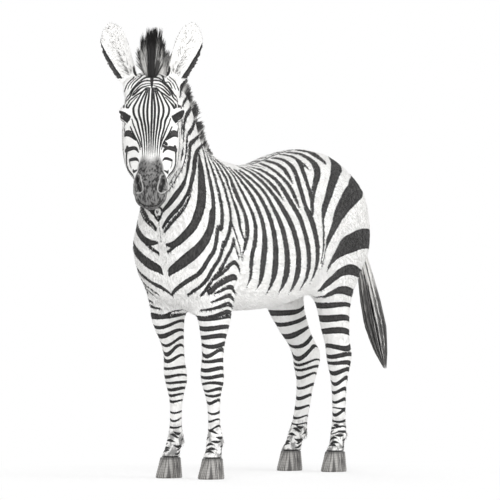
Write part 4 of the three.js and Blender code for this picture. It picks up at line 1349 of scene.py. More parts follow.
    def paint_muzzle(self, own: Array, along: Array, side: Array) -> None:
        """Paints the dark muzzle, the nostrils, the mouth and the chin, with a painted highlight along
        the nostrils' rims, and dark skin with painted shade in the nostrils and along the mouth.

        Args:
            own: Which vertices belong to the head.
            along: Their places along the face.
            side: Their distances to the left.
        """
        far = np.abs(side)
        reach = np.interp(along, [0.385, 0.42, 0.45, 0.475, 0.50, 0.60],
                          [0.040, 0.050, 0.052, 0.066, 0.10, 0.10])
        start = np.interp(far, [0.0, 0.012, 0.030, 0.048], [0.385, 0.380, 0.362, 0.385])
        within = ease(reach + 0.004, reach - 0.006, far) * ease(start, start + 0.050, along)
        tone = 0.88 + 0.10 * np.exp(-(((far - 0.034) / 0.016) ** 2)) * ease(0.38, 0.44, along)
        tone = tone + 0.10 * ease(0.47, 0.52, along) * np.exp(-((far / 0.022) ** 2))
        tone = tone - 0.05 * ease(0.545, 0.56, along)
        mouth = 1.0865 + 0.030 * ease(0.012, 0.050, far)
        chin = ease(mouth + 0.001, mouth - 0.003, self.skin.places[:, 2]) * ease(0.47, 0.52, along)
        grey = np.maximum(within * tone, chin * 0.93)
        self.grey = np.where(own, np.maximum(self.grey, np.clip(grey, 0, 0.97)), self.grey)
        self.depth = np.where(own & (grey > 0.35) & (along > 0.42), np.minimum(self.depth, -0.004),
                              self.depth)
        for sign in (1, -1):
            rim = self.cast.path(NOSTRIL_RIM, sign)
            near = np.nonzero(own & (side * sign > 0) & (along > 0.44))[0]
            _, gap = distance_to(self.skin.places[near], self.follow(rim, self.cast.face))
            # A lighter line along each nostril's raised rim: painted highlight.
            self.grey[near] *= 1 - 0.42 * np.exp(-((gap / 0.0026) ** 2))
            # The dark nostrils and the line of the mouth: dark skin, with painted shade in the openings.
            self.band(NOSTRIL, sign, own)
            self.band(MOUTH, sign, own)

    def paint_ears(self) -> None:
        """Paints the ears: dark rims, a pale hollow and dark patches behind."""
        skin = self.skin
        own = skin.own(Region.EARS)
        for ear in skin.head.ears:
            share, across, inner = ear.measure(skin.places, skin.normals)
            mine = own & (np.sign((skin.places - skin.head.origin) @ skin.head.side) == ear.sign)
            mine &= skin.places[:, 2] > 1.592
            half = ear.half_at(share)
            edge = half + 0.004 - np.abs(across)
            outer = across * ear.sign > 0
            low = ease(0.06, 0.20, share) * ease(0.62, 0.40, share)
            high = ease(0.30, 0.45, share) * ease(0.96, 0.80, share)
            rim = np.where(outer, 0.0034 + 0.0026 * low, 0.0030 + 0.0020 * high) - edge
            root = 0.011 - np.hypot((share - 0.16) * 0.15, (across * ear.sign + half * 0.80) * 0.9)
            back = np.maximum(0.030 - np.abs(share - 0.66) * 0.16, 0.014 - np.abs(share - 0.30) * 0.20)
            back = np.maximum(back, 0.010 - np.abs(share - 0.10) * 0.26)
            value = np.where(inner > 0, np.maximum(rim, root), np.maximum(rim, back))
            self.depth = np.where(mine, np.clip(value, self.outside, 0.02), self.depth)


# ---- the finishes --------------------------------------------------------------------------


@dataclass
class Nodes:
    """Short ways to make the nodes of a finish."""

    tree: bpy.types.NodeTree

    def node(self, kind: str) -> bpy.types.Node:
        """Returns a new node."""
        return self.tree.nodes.new(f"ShaderNode{kind}")

    def put(self, socket: bpy.types.NodeSocket, value: object) -> None:
        """Joins a socket to another one, or sets its value.

        Args:
            socket: The socket.
            value: The other socket, a colour or a number.
        """
        if isinstance(value, bpy.types.NodeSocket):
            self.tree.links.new(value, socket)
        elif isinstance(value, tuple) and len(socket.default_value) == 4:
            socket.default_value = (*value, 1.0)
        else:
            socket.default_value = value

    def made(self, kind: str, inputs: dict, out: int | str = 0,
             **settings: str) -> bpy.types.NodeSocket:
        """Makes a node.

        Args:
            kind: Its kind.
            inputs: What its sockets are joined or set to, by name or number.
            out: The name or number of the socket that is wanted of it.
            **settings: Its other settings.

        Returns:
            The wanted socket.
        """
        node = self.node(kind)
        for name, value in settings.items():
            setattr(node, name, value)
        for name, value in inputs.items():
            self.put(node.inputs[name], value)
        return node.outputs[out]

    def attribute(self, name: str, out: str = "Fac") -> bpy.types.NodeSocket:
        """Returns one of the mesh's own numbers or vectors."""
        return self.made("Attribute", {}, out, attribute_name=name)

    def noise(self, place: bpy.types.NodeSocket, size: float, detail: float) -> bpy.types.NodeSocket:
        """Returns soft noise."""
        return self.made("TexNoise", {"Vector": place, "Scale": size, "Detail": detail}, "Fac")

    def stretch(self, place: bpy.types.NodeSocket, factors: tuple) -> bpy.types.NodeSocket:
        """Returns a place stretched along the axes."""
        return self.made("VectorMath", {0: place, 1: factors}, operation="MULTIPLY")

    def math(self, kind: str, a: object, b: object) -> bpy.types.NodeSocket:
        """Returns a sum, product or other function of two numbers."""
        return self.made("Math", {0: a, 1: b}, operation=kind)

    def span(self, value: object, low: float, high: float, start: float,
             end: float) -> bpy.types.NodeSocket:
        """Returns a number mapped smoothly from one span to another."""
        spans = {"Value": value, "From Min": low, "From Max": high, "To Min": start, "To Max": end}
        return self.made("MapRange", spans, "Result", interpolation_type="SMOOTHSTEP")

    def mix(self, share: object, a: object, b: object) -> bpy.types.NodeSocket:
        """Returns a mixture of two colours."""
        return self.made("Mix", {0: share, 6: a, 7: b}, 2, data_type="RGBA")

    def seen_directly(self) -> bpy.types.NodeSocket:
        """Returns 1 for what the eye sees straight, in a mirror or through glass."""
        ways = self.node("LightPath").outputs
        seen = self.math("MAXIMUM", ways["Is Camera Ray"], ways["Is Glossy Ray"])
        return self.math("MAXIMUM", seen, ways["Is Transmission Ray"])

    def cover(self, base: object, settings: dict, bump: tuple = ()) -> None:
        """Sets the surface's colour and its other sockets, and its bump.

        Args:
            base: The colour.
            settings: The other sockets by name.
            bump: Height, strength and distance, if it has one.
        """
        surface = self.tree.nodes["Principled BSDF"]
        if bump:
            height, strength, distance = bump
            sockets = {"Strength": strength, "Distance": distance, "Height": height}
            settings = settings | {"Normal": self.made("Bump", sockets)}
        for name, value in ({"Base Color": base} | settings).items():
            self.put(surface.inputs[name], value)

    def blend(self, share: object, a: object, b: object, end: str) -> None:
        """Mixes two shaders and joins them to the end of the tree."""
        self.put(self.node(end).inputs[0], self.made("MixShader", {0: share, 1: a, 2: b}))


def new_finish(name: str) -> tuple[bpy.types.Material, Nodes]:
    """Returns a new material and the short ways to make its nodes."""
    material = bpy.data.materials.new(name)
    material.use_nodes = True
    return material, Nodes(material.node_tree)


@dataclass(frozen=True)
class StripedCoat:
    """The finish of skin and coat: charcoal bands with darker edges on an off-white ground."""

    edge: tuple = (0.010, 0.010, 0.011)
    charcoal: tuple = (0.058, 0.056, 0.055)
    streak: tuple = (0.012, 0.012, 0.012)
    white: tuple = (0.90, 0.894, 0.882)
    shaded: tuple = (0.62, 0.61, 0.595)
    smudge: tuple = (0.16, 0.158, 0.155)
    muzzle: tuple = (0.022, 0.021, 0.021)

    def make(self) -> bpy.types.Material:
        """Makes the material, whose depths inside a band are in millimetres."""
        material, make = new_finish("striped_coat")
        place = make.node("TexCoord").outputs["Object"]
        depth, grey, mottle = (make.attribute(name) for name in ("depth", "grey", "mottle"))
        fine = make.noise(place, 260.0, 3.0)
        grain = make.noise(make.stretch(place, (1.0, 0.5, 0.28)), 170.0, 2.0)
        blotch = make.noise(make.stretch(place, (1.0, 1.0, 0.55)), 46.0, 3.0)
        ragged = make.math("ADD", depth, make.math("MULTIPLY", make.math("ADD", fine, -0.5), 2.0))
        band = make.span(ragged, -0.8, 0.8, 0.0, 1.0)
        dark = make.mix(make.span(depth, 1.0, 9.0, 0.0, 1.0), self.edge, self.charcoal)
        dark = make.mix(make.span(grain, 0.40, 0.70, 0.0, 0.65), dark, self.streak)
        pale = make.mix(make.span(grain, 0.46, 0.72, 0.0, 0.22), self.white, self.shaded)
        spots = make.math("MULTIPLY", make.span(blotch, 0.44, 0.62, 0.0, 0.85), mottle)
        base = make.mix(band, make.mix(spots, pale, self.smudge), dark)
        shade = make.math("MULTIPLY", grey, make.span(grain, 0.30, 0.62, 1.15, 0.86))
        settings = {"Roughness": 0.66, "Specular IOR Level": 0.28, "Sheen Weight": 0.06}
        make.cover(make.mix(shade, base, self.muzzle), settings, (grain, 0.35, 0.0012))
        return material


@dataclass(frozen=True)
class LongHair:
    """The finish of long hair, from the blades' own darkness.

    Attributes:
        name: The material's name.
        pale: The colour of pale hair.
        dark: The colour of dark hair.
    """

    name: str
    pale: tuple
    dark: tuple = (0.012, 0.011, 0.011)

    def make(self) -> bpy.types.Material:
        """Makes the material."""
        material, make = new_finish(self.name)
        ramp = make.node("ValToRGB")
        for element, tint in zip(ramp.color_ramp.elements, (self.pale, self.dark)):
            element.color = (*tint, 1)
        make.put(ramp.inputs["Fac"], make.attribute("black"))
        make.cover(ramp.outputs["Color"], {"Roughness": 0.55, "Specular IOR Level": 0.35})
        return material


@dataclass(frozen=True)
class WetEye:
    """The wet, dark finish of the eye: pupil, iris, a dark rim and the white behind it."""

    iris: float = 0.64
    pupil: tuple = (0.003, 0.003, 0.003)
    rim: tuple = (0.012, 0.008, 0.006)
    brown: tuple = ((0.045, 0.038, 0.034), (0.150, 0.135, 0.122))
    white: tuple = ((0.22, 0.20, 0.19), (0.40, 0.38, 0.36))

    def make(self) -> bpy.types.Material:
        """Makes the material."""
        material, make = new_finish("wet_eye")
        polar, level = make.attribute("polar"), make.attribute("level")
        rays = make.noise(make.stretch(make.attribute("gaze", "Vector"), (1.0, 1.0, 0.2)), 22.0, 2.0)
        iris = make.mix(make.span(rays, 0.35, 0.65, 0.0, 1.0), *self.brown)
        white = make.mix(make.span(rays, 0.3, 0.7, 0.0, 1.0), *self.white)
        edge = make.span(polar, self.iris - 0.05, self.iris + 0.06, 0.0, 1.0)
        beyond = make.span(polar, self.iris + 0.16, self.iris + 0.34, 0.0, 1.0)
        globe = make.mix(beyond, make.mix(edge, iris, self.rim), white)
        globe = make.mix(make.span(level, 0.17, 0.21, 1.0, 0.0), globe, self.pupil)
        make.cover(globe, {"Roughness": 0.06, "Specular IOR Level": 0.6, "IOR": 1.9,
                           "Coat Weight": 1.0, "Coat Roughness": 0.03})
        return material


@dataclass(frozen=True)
class GreyHorn:
    """The finish of the hooves: grey horn, streaked from top to bottom."""

    streaks: tuple = ((0.060, 0.057, 0.054), (0.36, 0.35, 0.335))
    groove: tuple = (0.05, 0.048, 0.046)
    crown: tuple = (0.03, 0.03, 0.03)

    def make(self) -> bpy.types.Material:
        """Makes the material."""
        material, make = new_finish("grey_horn")
        streak = make.noise(make.attribute("turn", "Vector"), 9.0, 4.0)
        horn = make.mix(make.span(streak, 0.38, 0.62, 0.0, 1.0), *self.streaks)
        horn = make.mix(make.span(make.attribute("ring"), -0.4, 1.0, 0.0, 0.25), horn, self.groove)
        horn = make.mix(make.span(make.attribute("height"), 0.80, 1.0, 0.0, 0.7), horn, self.crown)
        make.cover(horn, {"Roughness": 0.42}, (streak, 0.25, 0.0008))
        return material


# ---- hair ----------------------------------------------------------------------------------


@dataclass
class Strands:
    """Thin closed blades, each a root, a few three-cornered rings and a tip, made as one mesh.

    Attributes:
        roots: Where each blade starts, one row each.
        rings: The centres of its rings, one row each, with a row for each ring.
        tips: Where it ends.
        sides: The direction of its width.
        halves: Half its width at each ring.
        lift: Its thickness as a share of its width.
    """

    roots: Array
    rings: Array
    tips: Array
    sides: Array
    halves: Array
    lift: float = 0.6

    def mesh(self, name: str) -> bpy.types.Mesh:
        """Makes the mesh.

        Args:
            name: The mesh's name.

        Returns:
            The mesh, whose vertices come blade by blade: root, rings, tip.
        """
        count, levels = self.rings.shape[:2]
        each = 3 * levels + 2
        faces = []
        for k in range(3):
            n = (k + 1) % 3
            faces.append((0, 1 + k, 1 + n))
            for level in range(levels - 1):
                a, b = 1 + 3 * level, 4 + 3 * level
                faces += [(a + k, b + k, a + n), (a + n, b + k, b + n)]
            last = 1 + 3 * (levels - 1)
            faces.append((last + k, each - 1, last + n))
        faces = np.array(faces)[None] + (np.arange(count) * each)[:, None, None]
        return mesh_from(name, self.points().reshape(-1, 3), faces.reshape(-1, 3))

    def points(self) -> Array:
        """Returns the blades' vertices, one row for each blade: root, rings, tip."""
        chain = np.concatenate([self.roots[:, None], self.rings, self.tips[:, None]], 1)
        way = unit(chain[:, 2:] - chain[:, :-2])
        side = unit(self.sides[:, None] - way * dot(way, self.sides[:, None])[..., None])
        over = np.cross(way, side)
        half = self.halves[..., None]
        corners = np.stack([self.rings + half * (side - over * self.lift / 3),
                            self.rings + half * over * self.lift,
                            self.rings + half * (-side - over * self.lift / 3)], 2)
        return np.concatenate([self.roots[:, None], corners.reshape(len(corners), -1, 3),
                               self.tips[:, None]], 1)

    def hair(self, name: str, black: Array, spots: Array) -> bpy.types.Object:
        """Makes the piece.

        Args:
            name: Its name.
            black: The darkness of each vertex.
            spots: The places on the map, one row for each blade.

        Returns:
            The piece.
        """
        mesh = self.mesh(name)
        write_attribute(mesh, "black", np.clip(black, 0, 1))
        self.lay_out(mesh, spots)
        return link(name, mesh)

    def repeat(self, values: Array) -> Array:
        """Returns a value for each vertex from a value for each blade."""
        return np.repeat(values, 3 * self.rings.shape[1] + 2, axis=0)

    def shares(self) -> Array:
        """Returns how far each vertex lies from root to tip."""
        levels = self.rings.shape[1]
        one = np.concatenate([[0.0], np.repeat((np.arange(levels) + 0.6) / (levels + 0.6), 3), [1.0]])
        return np.tile(one, len(self.roots))

    def lay_out(self, mesh: bpy.types.Mesh, spots: Array, size: float = 0.003) -> None:
        """Gives each blade its own small patch of the map OFBake, at its root's place.

        Args:
            mesh: The blades' mesh.
            spots: The places on the map, one row for each blade.
            size: How wide a patch is.
        """
        levels = self.rings.shape[1]
        up = np.concatenate([[0.0], np.repeat((np.arange(levels) + 1) / (levels + 1), 3), [1.0]])
        across = np.concatenate([[0.5], np.tile([0.0, 0.5, 1.0], levels), [0.5]])
        patch = (np.stack([across, up], -1) - 0.5) * size
        rows = (spots[:, None] + patch[None]).reshape(-1, 2)
        corners = np.empty(len(mesh.loops), np.int32)
        mesh.loops.foreach_get("vertex_index", corners)
        layer = mesh.uv_layers.new(name="OFBake")
        layer.data.foreach_set("uv", rows[corners].astype(np.float32).ravel())


@dataclass
class Mane:
    """The upright mane along the crest, in blocks that carry on the neck's bands, and the forelock.

    Attributes:
        head: The head's frame.
        rows: Places along the crest, the hair's height there and half the crest's width.
        dark: Where the dark blocks lie along the crest, and half their lengths.
        clump: The spacing of the locks.
        sunk: How deep the roots lie.
        blades: How many blades the mane has.
        brush_blades: How many the forelock has.
        brush_height: The forelock's height.
        seed: The seed of the blades' places.
        lock_seed: The seed of the mane's locks.
        brush_seed: The seed of the forelock's locks.
    """

    head: Head
    rows: tuple = (
        (0.000, -0.2212, 1.272, 0.024, 0.012), (0.000, -0.2772, 1.290, 0.060, 0.018),
        (0.001, -0.3402, 1.334, 0.106, 0.022), (0.002, -0.3892, 1.408, 0.136, 0.025),
        (0.004, -0.4362, 1.489, 0.140, 0.028), (0.006, -0.4932, 1.558, 0.146, 0.030),
        (0.007, -0.5712, 1.596, 0.130, 0.029), (0.007, -0.5930, 1.598, 0.100, 0.022),
    )
    dark: tuple = ((0.045, 0.012), (0.0955, 0.012), (0.145, 0.016), (0.2005, 0.020),
                   (0.2615, 0.024), (0.335, 0.026), (0.3946, 0.018), (0.440, 0.014))
    clump: float = 0.020
    sunk: float = 0.014
    blades: int = 8500
    brush_blades: int = 4200
    brush_height: float = 0.192
    seed: int = 11
    lock_seed: int = 5
    brush_seed: int = 8

    def build(self) -> None:
        """Makes the mane and the forelock, and dresses them."""
        finish = LongHair("mane_hair", (0.80, 0.79, 0.77)).make()
        rng = np.random.default_rng(self.seed)
        dress(self.make_crest(rng), finish, "long_hair", "mane")
        dress(self.make_brush(rng), finish, "long_hair", "forelock")

    def make_crest(self, rng: np.random.Generator) -> bpy.types.Object:
        """Stands the blades along the crest, gathered into locks.

        Args:
            rng: The random numbers.

        Returns:
            The mane.
        """
        path = curve_through(np.array(self.rows), 0.004)
        gaps = np.linalg.norm(np.diff(path[:, :3], axis=0), axis=1)
        arc = np.concatenate([[0.0], np.cumsum(gaps)])
        at = rng.uniform(0, arc[-1] + 0.01, self.blades)
        across = rng.uniform(-1, 1, self.blades)
        table = np.stack([np.interp(at, arc, path[:, k]) for k in range(5)], -1)
        ahead = np.stack([np.interp(at + 0.01, arc, path[:, k]) for k in range(3)], -1)
        behind = np.stack([np.interp(at - 0.01, arc, path[:, k]) for k in range(3)], -1)
        tangent = unit(ahead - behind)
        blend = (at / arc[-1])[:, None]
        side = unit(np.array([1.0, 0, 0]) * (1 - blend) + self.head.side * blend)
        rise = unit(np.cross(tangent, side))
        rise *= np.sign(rise[:, 2:])
        lock = np.floor(at / self.clump + 0.45 * np.sin(across * 2.2)) + 50 * np.round(across * 1.3)
        lean = np.random.default_rng(self.lock_seed).normal(size=(997, 3))[(lock.astype(int) * 37) % 997]
        middle = (np.floor(at / self.clump) + 0.5) * self.clump
        pull = (middle - at)[:, None] * tangent
        hair, thick = table[:, 3], table[:, 4]
        edge = np.clip(1 - 0.30 * np.abs(across) ** 2, 0, 1)
        length = hair * edge * (0.90 + 0.07 * lean[:, 0] + rng.uniform(-0.22, 0.10, self.blades))
        length = np.minimum(length, hair * 1.04)
        root = table[:, :3] + side * (across * thick * 0.74)[:, None] - rise * self.sunk
        tilt = side * (across * 0.10 + 0.05 * lean[:, 1])[:, None] - tangent * 0.10
        tilt = tilt + tangent * (0.05 * lean[:, 2])[:, None]
        levels = np.array([0.25, 0.55, 0.82])
        reach = (length + self.sunk)[:, None, None]
        shares = levels[None, :, None]
        rings = (root[:, None] + rise[:, None] * shares * reach
                 + tilt[:, None] * shares**1.5 * reach + pull[:, None] * shares**2 * 0.8)
        tips = root + rise * reach[:, 0] + tilt * reach[:, 0] * 1.1 + pull * 1.05
        halves = rng.uniform(0.0011, 0.0020, self.blades)[:, None] * np.array([1.0, 1.0, 0.7])
        turn = rng.uniform(0, np.pi, self.blades)[:, None]
        made = Strands(root, rings, tips, side * np.cos(turn) + tangent * np.sin(turn), halves)
        block = np.max([half - np.abs(at - centre) for centre, half in self.dark], axis=0)
        base = ease(-0.004, 0.004, block + rng.normal(0, 0.0035, self.blades))
        tone = np.clip(base + rng.normal(0, 0.10, self.blades), 0, 1)
        shares = made.shares()
        top = ease(0.50, 0.85, shares + made.repeat(rng.normal(0, 0.12, self.blades)))
        strong = made.repeat(np.clip(0.80 + 0.20 * lean[:, 0], 0.25, 1.0))
        black = np.maximum(made.repeat(tone), strong * top)
        spots = np.stack([0.02 + 0.45 * at / arc[-1], 0.90 + 0.03 * across], -1)
        return made.hair("mane_locks", black, spots)

    def make_brush(self, rng: np.random.Generator) -> bpy.types.Object:
        """Stands the forelock between the ears, fanned out to the sides.

        Args:
            rng: The random numbers.

        Returns:
            The forelock.
        """
        head, count = self.head, self.brush_blades
        turn = rng.uniform(0, 2 * np.pi, count)
        spread = np.sqrt(rng.uniform(0, 1, count))
        u, v = spread * np.cos(turn), spread * np.sin(turn)
        lean = unit(UP - head.facing * 0.03)
        place = -0.010 + v * 0.032
        dome = -0.061 + 0.0455 * np.sqrt(1 - ((place - 0.012) / 0.0646) ** 2)
        root = head.origin + np.outer(u * (0.020 - 0.005 * v), head.side)
        root = root + np.outer(place, head.along) + np.outer(dome - 0.010, head.depth)
        lock = (np.round(u * 5.0) * 7 + np.round(v * 3.4)).astype(int)
        drift = np.random.default_rng(self.brush_seed).normal(size=(101, 3))[lock % 101]
        height = self.brush_height * (1 - 0.40 * np.abs(u) ** 1.5 - 0.06 * v + 0.055 * drift[:, 0]
                                      + rng.uniform(-0.26, 0.05, count))
        height = np.clip(height, 0.05, self.brush_height)
        out = np.outer(u * 0.021 + 0.006 * drift[:, 1], head.side)
        out = out + np.outer(-v * 0.016 + 0.003 * drift[:, 2], head.facing)
        flare = np.outer(np.sign(u) * np.abs(u) ** 1.5 * 0.016, head.side)
        levels = np.array([0.22, 0.50, 0.80])[None, :, None]
        rise = (lean * height[:, None])[:, None]
        rings = root[:, None] + rise * levels + out[:, None] * levels + flare[:, None] * levels**2
        tips = root + lean * height[:, None] + out * 1.04 + flare
        halves = rng.uniform(0.0010, 0.0018, count)[:, None] * np.array([1.0, 1.0, 0.6])
        angle = rng.uniform(0, np.pi, count)[:, None]
        sides = head.side * np.cos(angle) + head.facing * np.sin(angle)
        made = Strands(root, rings, tips, sides, halves)
        shares = made.shares()
        pale = ease(0.50, 0.85, np.abs(u) + 0.14 * drift[:, 1] + rng.normal(0, 0.20, count))
        pale = made.repeat(np.clip(pale * np.where(drift[:, 2] > 0.25, 1.2, 0.10), 0, 1))
        black = 1 - 0.80 * pale * ease(0.12, 0.40, shares) * (1 - 0.45 * ease(0.7, 1.0, shares))
        return made.hair("forelock_locks", black, np.stack([0.55 + 0.03 * u, 0.90 + 0.03 * v], -1))


@dataclass
class Tail:
    """The long hair that grows from the dock and ends in a dark tuft.

    Attributes:
        dock: Places down the dock, and half its width there.
        tuft: Places down the tuft, and half its width there.
        blades: How many blades it has.
        top: The lowest height that the hair grows from.
        spread: The span of heights above that.
        lowest: The height of the tip.
        locks: How many locks it gathers into.
        streaks: How many streaks of tone run down it.
        seed: The seed of the blades' places.
        lock_seed: The seed of the locks' lengths.
        streak_seed: The seed of the streaks' tones.
    """

    dock: tuple = ((0.000, 0.6048, 1.212, 0.036), (0.003, 0.6798, 1.182, 0.034),
                   (0.014, 0.7308, 1.112, 0.029), (0.034, 0.7628, 1.020, 0.025),
                   (0.058, 0.7848, 0.930, 0.023), (0.075, 0.7978, 0.846, 0.0225))
    tuft: tuple = ((0.072, 0.7953, 0.872, 0.022), (0.084, 0.8048, 0.790, 0.033),
                   (0.091, 0.8208, 0.712, 0.042), (0.096, 0.8408, 0.635, 0.047),
                   (0.100, 0.8588, 0.572, 0.046), (0.104, 0.8768, 0.508, 0.035),
                   (0.109, 0.8948, 0.450, 0.019), (0.113, 0.9068, 0.412, 0.005))
    blades: int = 7600
    top: float = 0.815
    spread: float = 0.27
    lowest: float = 0.416
    locks: int = 13
    streaks: int = 41
    seed: int = 23
    lock_seed: int = 3
    streak_seed: int = 9

    def build(self) -> None:
        """Makes the tail's hair and dresses it."""
        finish = LongHair("tail_hair", (0.82, 0.81, 0.79)).make()
        dress(self.make_hair(), finish, "long_hair", "tail_tuft")

    def make_hair(self) -> bpy.types.Object:
        """Hangs the blades along the tail's own line, in locks that close to a point.

        Returns:
            The tail's hair.
        """
        rng = np.random.default_rng(self.seed)
        count = self.blades
        rows = np.vstack([self.dock[:-1], self.tuft[1:]])
        path = curve_through(rows, 0.006)
        heights, order = path[:, 2], np.argsort(path[:, 2])

        def line(z: Array) -> Array:
            """Returns the tail's line and half width at heights."""
            return np.stack([np.interp(z, heights[order], path[order, k]) for k in (0, 1, 2, 3)], -1)

        start = rng.uniform(0, 1, count) ** 1.6 * self.spread + self.top
        turn = rng.uniform(0, 2 * np.pi, count)
        lock = (turn / (2 * np.pi) * self.locks).astype(int)
        long = rng.uniform(0, 1, count)
        shift = np.random.default_rng(self.lock_seed).uniform(-1, 1, self.locks)[lock]
        stop = self.lowest + 0.002 + 0.19 * long**1.8 + 0.035 * shift + 0.30 * (start - self.top)
        stop = np.maximum(stop, self.lowest)
        depth = np.sqrt(rng.uniform(0.03, 1, count))
        centre_turn = (lock + 0.5) / self.locks * 2 * np.pi
        gather = np.array([0.0, 0.15, 0.35, 0.6, 0.8])
        levels = np.array([0.10, 0.32, 0.58, 0.84, 1.0])
        places = []
        for share, pull in zip(levels, gather):
            z = start + (stop - start) * share
            base = line(z)
            angle = turn * (1 - pull) + centre_turn * pull
            wide = base[:, 3] * depth * (1.0 - 0.15 * pull)
            wide = wide * ease(-0.05, 0.10, share)
            places.append(base[:, :3] + np.stack([np.cos(angle) * wide, np.sin(angle) * wide,
                                                  0 * wide], -1))
        base = line(start)
        root = base[:, :3] + np.stack([np.cos(turn), np.sin(turn), 0 * turn], -1) * (
            base[:, 3:] * 0.55)
        rings, tips = np.stack(places[:-1], 1), places[-1]
        halves = rng.uniform(0.0010, 0.0018, count)[:, None] * np.array([0.9, 1.0, 1.0, 0.7])
        sides = np.stack([-np.sin(turn), np.cos(turn), 0 * turn], -1)
        made = Strands(root, rings, tips, sides, halves)
        streak = (turn / (2 * np.pi) * self.streaks).astype(int)
        streak = np.random.default_rng(self.streak_seed).uniform(0, 1, self.streaks)[streak]
        height = made.points()[..., 2].ravel()
        tone = made.repeat(streak * 0.75 + rng.uniform(0, 0.35, count))
        lower = ease(0.98, 0.70, height)
        edge = ease(0.06, 0.02, height - made.repeat(stop))
        black = ease(0.98 - 0.80 * lower, 1.10 - 0.80 * lower, tone) * (1 - 0.35 * edge)
        black = np.clip(black * (0.75 + 0.25 * made.repeat(rng.uniform(0, 1, count))), 0, 1)
        up = (start - self.top) / self.spread
        spots = np.stack([0.62 + 0.10 * turn / (2 * np.pi), 0.90 + 0.06 * up], -1)
        return made.hair("tail_hair", black, spots)


# ---- the coat ------------------------------------------------------------------------------


@dataclass(frozen=True)
class Cut:
    """How long, wide and proud the tufts of one region are, and how many grow on a square metre.

    Attributes:
        length: Their length.
        half: Half their width.
        lift: How far their tips stand off.
        number: How many grow on a square metre.
    """

    length: float
    half: float
    lift: float
    number: float


